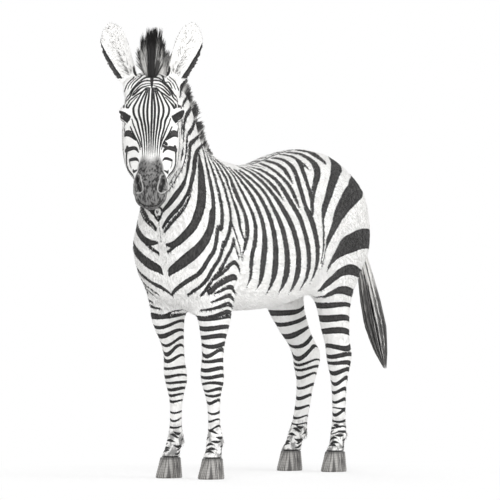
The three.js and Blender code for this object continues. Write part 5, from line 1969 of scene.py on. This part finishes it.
@dataclass
class Coat:
    """The short coat: tufts that lie along the body, rooted in the skin, with the skin's markings.

    Attributes:
        skin: The skin that it grows on.
        material: The finish that skin and coat share.
        cuts: The tufts of each region.
        limit: The most tufts in one piece.
        sunk: How deep the roots lie in the skin.
        seed: The seed of the tufts' places.
    """

    skin: Skin
    material: bpy.types.Material
    cuts: dict = field(default_factory=lambda: {
        Region.TRUNK: Cut(0.0150, 0.0011, 0.0034, 27500),
        Region.NECK: Cut(0.0140, 0.0010, 0.0032, 42000),
        Region.HEAD: Cut(0.0062, 0.0006, 0.0013, 110000),
        Region.EARS: Cut(0.0085, 0.0006, 0.0012, 80000),
        Region.TAIL: Cut(0.0160, 0.0011, 0.0030, 60000),
        **{leg: Cut(0.0085, 0.0008, 0.0016, 55000) for leg in LEGS}})
    limit: int = 32000
    sunk: float = 0.0006
    seed: int = 7

    def build(self) -> None:
        """Grows the coat region by region."""
        skin = self.skin
        self.flow, self.fineness = self.find_flow(), self.find_fineness()
        rng = np.random.default_rng(self.seed)
        corners = skin.places[skin.triangles]
        self.areas = np.linalg.norm(np.cross(corners[:, 1] - corners[:, 0],
                                             corners[:, 2] - corners[:, 0]), axis=1) / 2
        groups = (("trunk", (Region.TRUNK,)), ("neck", (Region.NECK,)), ("head", (Region.HEAD,)),
                  ("ears", (Region.EARS,)), ("forelegs", LEGS[:2]), ("hind_legs", LEGS[2:]),
                  ("dock", (Region.TAIL,)))
        for name, regions in groups:
            chosen = np.nonzero(skin.own(*regions)[skin.triangles[:, 0]])[0]
            cut = self.cuts[regions[0]]
            count = int(self.areas[chosen].sum() * cut.number)
            pieces = max(1, math.ceil(count / self.limit))
            order = chosen[np.argsort(corners[chosen].mean(1)[:, 1 if name == "trunk" else 2])]
            share = np.cumsum(self.areas[order]) / self.areas[order].sum()
            for piece in range(pieces):
                part = order[(share > piece / pieces) & (share <= (piece + 1) / pieces)]
                label = f"coat_{name}" if pieces == 1 else f"coat_{name}_{piece + 1}"
                self.grow(label, part, cut, int(self.areas[part].sum() * cut.number), rng)

    def find_flow(self) -> Array:
        """Works out which way the hair lies at every vertex.

        Returns:
            Unit vectors along the skin.
        """
        skin, head = self.skin, self.skin.head
        flow = np.tile(np.array([0.0, 1.0, -0.30]), (len(skin.places), 1))
        places = skin.places
        local = head.local(places)

        rear = ease(0.25, 0.55, places[:, 1])[:, None]
        front = ease(-0.36, -0.50, places[:, 1])[:, None]
        trunk = flow * (1 - rear) + np.array([0.0, 0.45, -0.9]) * rear
        trunk = trunk * (1 - front) + np.array([0.0, 0.25, -1.0]) * front
        flow[skin.own(Region.TRUNK)] = trunk[skin.own(Region.TRUNK)]
        flow[skin.own(Region.NECK)] = (0.0, 0.42, -0.90)
        whorl = head.place(0.045, 0.0, 0.0)
        away = unit(places - whorl)
        blend = ease(0.10, 0.02, np.linalg.norm(places - whorl, axis=1))[:, None]
        down = head.along - head.depth * 0.35 * ease(0.03, 0.09, np.abs(local[:, 2]))[:, None]
        up = ease(0.06, 0.0, local[:, 0])[:, None]
        down = down * (1 - up) - head.along * up
        flow[skin.own(Region.HEAD)] = (down * (1 - blend) + away * blend)[skin.own(Region.HEAD)]
        for ear in head.ears:
            mine = skin.own(Region.EARS) & (np.sign(local[:, 2]) == ear.sign)
            _, across, inner = ear.measure(places, skin.normals)
            side = ear.left()
            outward = np.where(inner > 0, 0.5, 0.1) * np.sign(across)
            flow[mine] = (ear.axis + side * outward[:, None])[mine]
        for leg in LEGS:
            flow[skin.own(leg)] = (0.0, 0.10, -1.0)
        flow[skin.own(Region.TAIL)] = (0.05, 0.25, -1.0)
        for _ in range(10):
            flow = unit(flow - skin.normals * dot(flow, skin.normals)[:, None])
            flow = skin.spread(flow)
        return unit(flow - skin.normals * dot(flow, skin.normals)[:, None])

    def grow(self, name: str, part: Array, cut: Cut, count: int, rng: np.random.Generator) -> None:
        """Grows one piece of the coat.

        Args:
            name: The piece's name.
            part: The triangles of skin that it grows on.
            cut: Its tufts.
            count: How many tufts it has.
            rng: The random numbers.
        """
        skin = self.skin
        chosen = part[np.searchsorted(np.cumsum(self.areas[part]) / self.areas[part].sum(),
                                      rng.uniform(0, 1, count) * 0.999999)]
        a, b = rng.uniform(0, 1, (2, count))
        flip = a + b > 1
        a, b = np.where(flip, 1 - a, a), np.where(flip, 1 - b, b)
        weights = np.stack([1 - a - b, a, b], -1)[..., None]
        corners = skin.triangles[chosen]

        def at(values: Array) -> Array:
            """Returns the skin's values at the roots."""
            picked = values[corners]
            return np.sum(picked * (weights if picked.ndim == 3 else weights[..., 0]), axis=1)

        root, normal, way = at(skin.places), unit(at(skin.normals)), unit(at(self.flow))
        fineness = np.clip(at(self.fineness), 0.3, 1.0)
        side = np.cross(normal, way)
        turn = rng.normal(0, 0.16, count)[:, None]
        way = unit(way + side * turn)
        side = np.cross(normal, way)
        length = cut.length * fineness * rng.uniform(0.7, 1.25, count)
        lift = cut.lift * fineness * rng.uniform(0.35, 1.15, count)
        half = cut.half * (0.55 + 0.45 * fineness) * rng.uniform(0.8, 1.3, count)
        start = root - normal * self.sunk
        middle = root + way * (length * 0.42)[:, None] + normal * (lift * 0.60)[:, None]
        tip = root + way * length[:, None] + normal * lift[:, None]
        made = Strands(start, middle[:, None], tip, side, half[:, None], 0.45)
        mesh = made.mesh(name)
        offset = places_of(mesh) - made.repeat(root)
        for key, values in skin.marks.items():
            slope = self.slopes(values, corners)
            here = made.repeat(at(values)) + dot(offset, made.repeat(slope)) * 0.8
            write_attribute(mesh, key, here if key == "depth" else np.clip(here, 0, 1))
        made.lay_out(mesh, self.spots(root, name))
        dress(link(name, mesh), self.material, "coat")

    def find_fineness(self) -> Array:
        """Returns how long the hair is beside its region's own: shorter on face, lips and feet.

        Returns:
            A share for each vertex.
        """
        skin = self.skin
        local = skin.head.local(skin.places)
        fine = np.ones(len(skin.places))
        head = skin.own(Region.HEAD)
        fine[head] = (1 - 0.55 * ease(0.36, 0.48, local[:, 0]))[head]
        for lid in skin.head.lids:
            gap = np.linalg.norm(skin.places - lid.eye, axis=1)
            fine = fine * (1 - 0.5 * ease(0.050, 0.028, gap))
        return fine * (1 - 0.35 * ease(0.35, 0.12, skin.places[:, 2]))

    def slopes(self, values: Array, corners: Array) -> Array:
        """Returns how fast the skin's values change over each root's triangle.

        Args:
            values: A number for each vertex of the skin.
            corners: The corners of each root's triangle.

        Returns:
            The slope, as a vector along the triangle.
        """
        a, b, c = (self.skin.places[corners[:, k]] for k in range(3))
        over = np.cross(b - a, c - a)
        size = np.maximum(dot(over, over), 1e-16)[:, None]
        rise_b = (values[corners[:, 1]] - values[corners[:, 0]])[:, None]
        rise_c = (values[corners[:, 2]] - values[corners[:, 0]])[:, None]
        return (np.cross(c - a, over) * rise_b - np.cross(b - a, over) * rise_c) / size

    def spots(self, roots: Array, name: str) -> Array:
        """Returns the roots' places on an unwrap of the body, region by region.

        Args:
            roots: The roots.
            name: The piece's name.

        Returns:
            Their places on the map.
        """
        x, y, z = roots.T
        left = x > 0
        if "leg" in name:
            near, far = (Core(leg.value).at(z) for leg in (LEGS[:2] if "fore" in name else LEGS[2:]))
            centre = np.where(left[:, None], near, far)
            u = 0.47 * turn_of(x - centre[:, 0], y - centre[:, 1]) + np.where(left, 0.01, 0.51)
            v = z
        elif "head" in name or "ears" in name:
            along, depth, side = self.skin.head.local(roots).T
            u, v = turn_of(side, depth + 0.10), (along + 0.32) / 0.95
        elif "neck" in name:
            u, v = turn_of(x, y - column_centre(z)), (z - 0.9) / 0.8
        else:
            u, v = turn_of(x, z - BARREL_HEIGHT), (y + 0.65) / 1.5
        return np.stack([0.01 + 0.98 * np.clip(u, 0, 1), 0.01 + 0.98 * np.clip(v, 0, 1)], -1)


# ---- fine hair, eyes and hooves ------------------------------------------------------------


@dataclass
class FineHair:
    """The hair inside the ears, the lashes, the whiskers and the tufts behind the fetlocks.

    Attributes:
        skin: The skin that it grows on.
        ear_blades: How many blades an ear has.
        lashes: How many lashes an eye has.
        whiskers: How many whiskers there are.
        tuft_blades: How many blades a fetlock has.
        seed: The seed of their places.
    """

    skin: Skin
    ear_blades: int = 620
    lashes: int = 34
    whiskers: int = 46
    tuft_blades: int = 90
    seed: int = 77

    def build(self) -> None:
        """Makes and dresses the four kinds of hair."""
        self.rng = np.random.default_rng(self.seed)
        self.cast = Places(self.skin)
        pale = LongHair("ear_hair", (0.84, 0.83, 0.81), (0.05, 0.049, 0.048)).make()
        dark = LongHair("fine_hair", (0.60, 0.59, 0.57)).make()
        dress(self.fill_ears(), pale, "long_hair")
        dress(self.set_lashes(), dark, "long_hair")
        dress(self.set_whiskers(), dark, "long_hair")
        dress(self.set_tufts(), pale, "long_hair")

    def grow(self, name: str, roots: Array, ways: Array, lengths: Array, droop: Array,
             half: float, black: tuple[Array, Array], corner: float) -> bpy.types.Object:
        """Grows blades from places on the skin.

        Args:
            name: The piece's name.
            roots: Their roots.
            ways: The ways they grow.
            lengths: Their lengths.
            droop: How their tips drift.
            half: Half their width.
            black: Their darkness at the root and at the tip.
            corner: Where their patches start on the map.

        Returns:
            The piece.
        """
        roots, ways, count = np.array(roots), unit(np.array(ways)), len(roots)
        levels = np.array([0.2, 0.5, 0.8])[None, :, None]
        reach = np.asarray(lengths)[:, None, None]
        rings = roots[:, None] + ways[:, None] * levels * reach + droop[:, None] * levels**2
        tips = roots + ways * reach[:, 0] + droop
        sides = unit(np.cross(ways, self.rng.normal(size=(count, 3))))
        halves = half * self.rng.uniform(0.7, 1.2, count)[:, None] * np.array([1.0, 0.85, 0.55])
        made = Strands(roots, rings, tips, sides, halves)
        low, high = (made.repeat(np.broadcast_to(value, count)) for value in black)
        spots = np.stack([corner + self.rng.uniform(0, 0.08, count),
                          self.rng.uniform(0.86, 0.96, count)], -1)
        return made.hair(name, low + (high - low) * made.shares(), spots)

    def fill_ears(self) -> bpy.types.Object:
        """Lays hair in a herringbone up the hollow of each ear, darkest down the middle and at the roots
        as painted shade in the hollow.

        Returns:
            The ears' hair.
        """
        skin, rng = self.skin, self.rng
        tree = self.cast.tree_of(skin.own(Region.EARS))
        roots, ways, lengths, low = [], [], [], []
        for ear in skin.head.ears:
            side = ear.left() * ear.sign
            for _ in range(self.ear_blades):
                share, u = rng.uniform(0.12, 0.86), rng.normal(0.0, 0.34)
                u = float(np.clip(u, -0.85, 0.85))
                half = float(ear.half_at(share))
                start = ear.root + ear.axis * (share * ear.length) + side * (u * half)
                hit = tree.ray_cast(Vector(start + ear.opens * 0.12), Vector(-ear.opens))[0]
                if hit is None:
                    continue
                roots.append(np.array(hit) - ear.opens * 0.001)
                way = ear.axis * 0.80 + side * (np.sign(u) * (0.35 + 0.5 * abs(u))) + ear.opens * 0.16
                ways.append(way + rng.normal(0, 0.10, 3))
                lengths.append(rng.uniform(0.014, 0.026) * (1.15 - 0.70 * share))
                # Darker down the middle of the hollow, and darker at the root than at the tip: painted
                # shade in the ear's hollow.
                low.append(np.clip(1.15 - 1.4 * abs(u) + 0.25 * rng.normal(), 0.10, 1.0))
        low = np.array(low)
        return self.grow("ear_hair", roots, ways, lengths, np.zeros((len(roots), 3)), 0.0009,
                         (low, low * 0.75), 0.62)

    def set_lashes(self) -> bpy.types.Object:
        """Sets the lashes along the upper lids, longest in the middle.

        Returns:
            The lashes.
        """
        roots, ways, lengths = [], [], []
        for lid in self.skin.head.lids:
            for a in np.linspace(-0.80, 0.62, self.lashes):
                arch = lid.height * math.sqrt(1 - (a / lid.length) ** 2) / (1.0 + 0.12 * a) + 0.06
                front = math.sqrt(max(1 - a * a - arch**2, 0.02))
                way = lid.across * a + lid.upper * arch + lid.out * front
                roots.append(lid.eye + way * (lid.radius + 0.0028))
                ways.append(lid.out * 0.55 + lid.upper * 0.60 + lid.across * (a * 0.45 - 0.25)
                            - UP * 0.18 + self.rng.normal(0, 0.07, 3))
                lengths.append(0.005 + 0.005 * (1 - abs(a)))
        droop = np.tile(UP * 0.0030, (len(roots), 1))
        return self.grow("lashes", roots, ways, lengths, droop, 0.00045, (1.0, 1.0), 0.72)

    def set_whiskers(self) -> bpy.types.Object:
        """Sets a few stiff hairs on the lips and chin.

        Returns:
            The whiskers.
        """
        head, roots, ways, lengths = self.skin.head, [], [], []
        for _ in range(self.whiskers):
            u, z = self.rng.uniform(-0.045, 0.045), self.rng.uniform(1.078, 1.125)
            root = self.cast.put(Chart.FRONT, abs(u), z, 1 if u > 0 else -1)
            roots.append(root)
            way = head.facing * 0.6 + head.side * (u * 9) - UP * 0.7
            ways.append(way + self.rng.normal(0, 0.15, 3))
            lengths.append(self.rng.uniform(0.005, 0.010))
        droop = np.tile(-UP * 0.003, (len(roots), 1))
        return self.grow("whiskers", roots, ways, lengths, droop, 0.00035, (0.9, 0.8), 0.82)

    def set_tufts(self) -> bpy.types.Object:
        """Sets a short tuft behind each fetlock.

        Returns:
            The tufts.
        """
        roots, ways, lengths = [], [], []
        for leg in LEGS:
            for _ in range(self.tuft_blades):
                angle, z = self.rng.normal(180, 22), self.rng.uniform(0.138, 0.168)
                root = self.cast.on_leg(leg, z, angle)
                centre = self.cast.cores[leg].at(z)
                away = np.array([root[0] - centre[0], root[1] - centre[1], 0.0])
                roots.append(root - unit(away) * 0.001)
                ways.append(unit(away) * 0.35 - UP + self.rng.normal(0, 0.10, 3))
                lengths.append(self.rng.uniform(0.012, 0.024))
        return self.grow("fetlock_tufts", roots, ways, lengths, np.zeros((len(roots), 3)), 0.0008,
                         (0.45, 0.9), 0.90)


@dataclass
class Eyes:
    """The eyeballs: a dark globe with a clear bulge over the iris and a wide, level pupil.

    Attributes:
        head: The head's frame.
        rings: How many faces run round the ball.
        rows: How many run from front to back.
        bulge: How far the clear front stands out.
    """

    head: Head
    rings: int = 48
    rows: int = 40
    bulge: float = 0.0012

    def build(self) -> None:
        """Makes both eyes."""
        finish = WetEye().make()
        for name, lid in zip(("left", "right"), self.head.lids):
            dress(self.make_ball(f"eyeball_{name}", lid), finish, "eye", f"eye_{name}")

    def make_ball(self, name: str, lid: Lid) -> bpy.types.Object:
        """Makes one eyeball.

        Args:
            name: Its name.
            lid: The opening that it looks out of.

        Returns:
            The eyeball.
        """
        polar = np.linspace(0, np.pi, self.rows + 1)[1:-1]
        turn = np.linspace(0, 2 * np.pi, self.rings, endpoint=False)
        grid = np.stack(np.meshgrid(polar, turn, indexing="ij"), -1).reshape(-1, 2)
        angle = np.concatenate([[0.0], grid[:, 0], [np.pi]])
        around = np.concatenate([[0.0], grid[:, 1], [0.0]])
        radius = lid.radius - 0.0004 + self.bulge * ease(0.62, 0.15, angle)
        flat = np.stack([np.sin(angle) * np.cos(around), np.sin(angle) * np.sin(around),
                         np.cos(angle)], -1)
        frame_rows = np.stack([lid.across, lid.upper, lid.out])
        places = lid.eye + (flat * radius[:, None]) @ frame_rows
        faces = []
        last = len(places) - 1
        for k in range(self.rings):
            n = (k + 1) % self.rings
            faces.append((0, 1 + k, 1 + n, 1 + n))
            for row in range(self.rows - 2):
                a, b = 1 + row * self.rings, 1 + (row + 1) * self.rings
                faces.append((a + k, b + k, b + n, a + n))
            end = 1 + (self.rows - 2) * self.rings
            faces.append((end + k, last, end + n, end + n))
        triangles = [t for f in faces for t in ((f[0], f[1], f[2]), (f[0], f[2], f[3]))
                     if len(set(t)) == 3]
        mesh = mesh_from(name, places, np.array(triangles))
        write_attribute(mesh, "gaze", flat)
        write_attribute(mesh, "polar", angle)
        write_attribute(mesh, "level", np.hypot(flat[:, 0] * 0.62, flat[:, 1] * 1.25)
                        + (flat[:, 2] < 0))
        return link(name, mesh)


@dataclass
class Hooves:
    """The hooves: one horn wall each, with growth rings, a worn edge and a hollow sole.

    Attributes:
        voxel: The grain of the cast.
        rings: How many growth rings there are.
        ring_depth: How far they stand out.
        streaks: How many ridges run down the wall.
        streak_depth: How far those stand out.
        hollow: How far the sole is hollowed.
    """

    voxel: float = 0.0030
    rings: int = 9
    ring_depth: float = 0.0005
    streaks: int = 46
    streak_depth: float = 0.00012
    hollow: float = 0.006

    def build(self) -> None:
        """Makes the four hooves."""
        finish = GreyHorn().make()
        for leg in LEGS:
            node = f"hoof_{leg.name.lower()}"
            dress(self.make_hoof(node), finish, "hoof", node)

    def make_hoof(self, node: str) -> bpy.types.Object:
        """Casts a hoof from its solid and rings its wall.

        Args:
            node: The solid.

        Returns:
            The hoof.
        """
        work = bmesh.new()
        work.from_mesh(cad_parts[node].data)
        bmesh.ops.remove_doubles(work, verts=work.verts, dist=1e-5)
        mesh = bpy.data.meshes.new(f"horn_{node[5:]}")
        work.to_mesh(mesh)
        work.free()
        made = link(mesh.name, mesh)
        remesh = made.modifiers.new("cast", "REMESH")
        remesh.mode, remesh.voxel_size = "VOXEL", self.voxel
        smooth = made.modifiers.new("smooth", "SMOOTH")
        smooth.factor, smooth.iterations = 0.5, 6
        name, mesh = made.name, evaluated(made)
        places = places_of(mesh)
        low, high = places.min(0), places.max(0)
        centre = (low + high) / 2
        out = places - centre
        out[:, 2] = 0
        reach = np.linalg.norm(out, axis=1)
        out = unit(out)
        tall = high[2] - low[2]
        rise = (places[:, 2] - low[2]) / tall
        height = rise - 0.10 * out[:, 1] * (1 - rise)
        wall = ease(0.02, 0.12, rise) * ease(0.99, 0.90, height)
        wave = 0.5 * np.sin(np.arctan2(out[:, 0], out[:, 1]) * 3)
        ring = np.sin(height * self.rings * 2 * np.pi + wave)
        places += out * (ring * self.ring_depth * wall)[:, None]
        turn = np.arctan2(out[:, 0], -out[:, 1])
        places += out * (np.sin(turn * self.streaks) * self.streak_depth * wall)[:, None]
        sole = ease(0.002, 0.0, places[:, 2] - low[2]) * ease(0.82, 0.55, reach / reach.max())
        places[:, 2] += self.hollow * sole
        places[:, 2] = np.maximum(places[:, 2], 0.0)
        places[:, 2] -= places[:, 2].min() * ease(0.02, 0.0, places[:, 2])
        mesh.vertices.foreach_set("co", places.astype(np.float32).ravel())
        mesh.update()
        mesh.name = name
        mesh.polygons.foreach_set("use_smooth", np.ones(len(mesh.polygons), bool))
        write_attribute(mesh, "height", (places[:, 2] - low[2]) / tall)
        write_attribute(mesh, "turn", np.stack([np.cos(turn), np.sin(turn), height * 0.12], -1))
        write_attribute(mesh, "ring", ring)
        return link(name, mesh)


# ---- the studio ----------------------------------------------------------------------------


@dataclass
class Studio:
    """The camera, the lights, the floor and the backdrop.

    Attributes:
        aim: What the camera looks at.
        azimuth: How far round to the left it stands.
        elevation: How high it stands.
        distance: How far off it is.
        lens: Its focal length in millimetres.
        floor_size: The floor's width.
        fade: Where the floor begins and ends to fade into white.
        lit: What the lamps look at.
        ambience: The strength of the world's light on the animal.
        lamps: Each lamp's name, place, width and power.
    """

    aim: tuple[float, float, float] = (0.018, 0.040, 0.912)
    azimuth: float = math.radians(34)
    elevation: float = math.radians(0.2)
    distance: float = 24.0
    lens: float = 426.7
    floor_size: float = 60.0
    fade: tuple = (0.5, 1.5)
    lit: tuple = (0.0, 0.0, 0.9)
    ambience: float = 0.70
    lamps: tuple = (
        ("key", (2.2, -5.0, 4.6), 3.6, 118.0),
        ("fill", (6.0, 0.5, 2.6), 4.0, 150.0),
        ("rim", (-4.5, 3.5, 4.4), 4.0, 110.0),
        ("spark", (3.0, -4.6, 1.7), 2.2, 44.0),
    )

    def build(self) -> None:
        """Sets the whole stage."""
        self.place_camera()
        self.light()
        self.lay_floor()
        bpy.context.scene.view_settings.view_transform = "Standard"

    def place_camera(self) -> None:
        """Puts the camera far off, as a long lens sees the animal."""
        camera = bpy.data.cameras.new("camera")
        camera.lens, camera.sensor_width = self.lens, 36.0
        camera.clip_end = 200.0
        made = bpy.data.objects.new("camera", camera)
        bpy.context.scene.collection.objects.link(made)
        back = Vector((math.sin(self.azimuth) * math.cos(self.elevation),
                       -math.cos(self.azimuth) * math.cos(self.elevation), math.sin(self.elevation)))
        made.location = Vector(self.aim) + back * self.distance
        self.turn(made, -back)
        bpy.context.scene.camera = made

    def turn(self, made: bpy.types.Object, way: Vector) -> None:
        """Turns a camera or lamp to look one way."""
        made.rotation_mode = "QUATERNION"
        made.rotation_quaternion = way.to_track_quat("-Z", "Y")

    def light(self) -> None:
        """Hangs four broad soft lamps in a white world."""
        for name, place, size, power in self.lamps:
            lamp = bpy.data.lights.new(name, "AREA")
            lamp.shape, lamp.size, lamp.energy = "DISK", size, power
            made = bpy.data.objects.new(name, lamp)
            made.location = place
            self.turn(made, Vector(self.lit) - Vector(place))
            bpy.context.scene.collection.objects.link(made)
        world = bpy.data.worlds.new("white")
        bpy.context.scene.world = world
        world.use_nodes = True
        make = Nodes(world.node_tree)
        make.tree.nodes.clear()
        soft, white = (make.made("Background", {"Color": WHITE, "Strength": strength})
                       for strength in (self.ambience, 1.0))
        make.blend(make.seen_directly(), soft, white, "OutputWorld")

    def lay_floor(self) -> None:
        """Lays a white floor that keeps the shadow under the animal and fades into the white."""
        mesh = mesh_from("floor", np.array([[-1, -1, 0], [1, -1, 0], [1, 1, 0], [-1, 1, 0]])
                         * self.floor_size / 2, np.array([[0, 1, 2, 3]]))
        floor = link("floor", mesh)
        material, make = new_finish("floor_white")
        make.tree.nodes.clear()
        diffuse = make.made("BsdfDiffuse", {"Color": (0.9, 0.9, 0.9)})
        glow = make.made("Emission", {"Color": WHITE, "Strength": 1.0})
        place = make.node("TexCoord").outputs["Object"]
        reach = make.made("VectorMath", {0: place}, "Value", operation="LENGTH")
        fade = make.span(reach, *self.fade, 0.55, 1.0)
        make.blend(make.math("MULTIPLY", fade, make.seen_directly()), diffuse, glow, "OutputMaterial")
        mesh.materials.append(material)


def main() -> None:
    """Builds the whole animal, piece by piece."""
    logging.basicConfig(level=logging.INFO, format="%(message)s")
    Studio().build()
    head = Head()
    skin = Skin(head)
    made = skin.build()
    Markings(skin).paint()
    material = StripedCoat().make()
    flesh = [n for region in REGIONS for n in region.value if not n.startswith("eye")]
    dress(made, material, "coat", *flesh)
    Mane(head).build()
    Tail().build()
    Eyes(head).build()
    FineHair(skin).build()
    Hooves().build()
    Coat(skin, material).build()


if __name__ == "__main__":
    main()
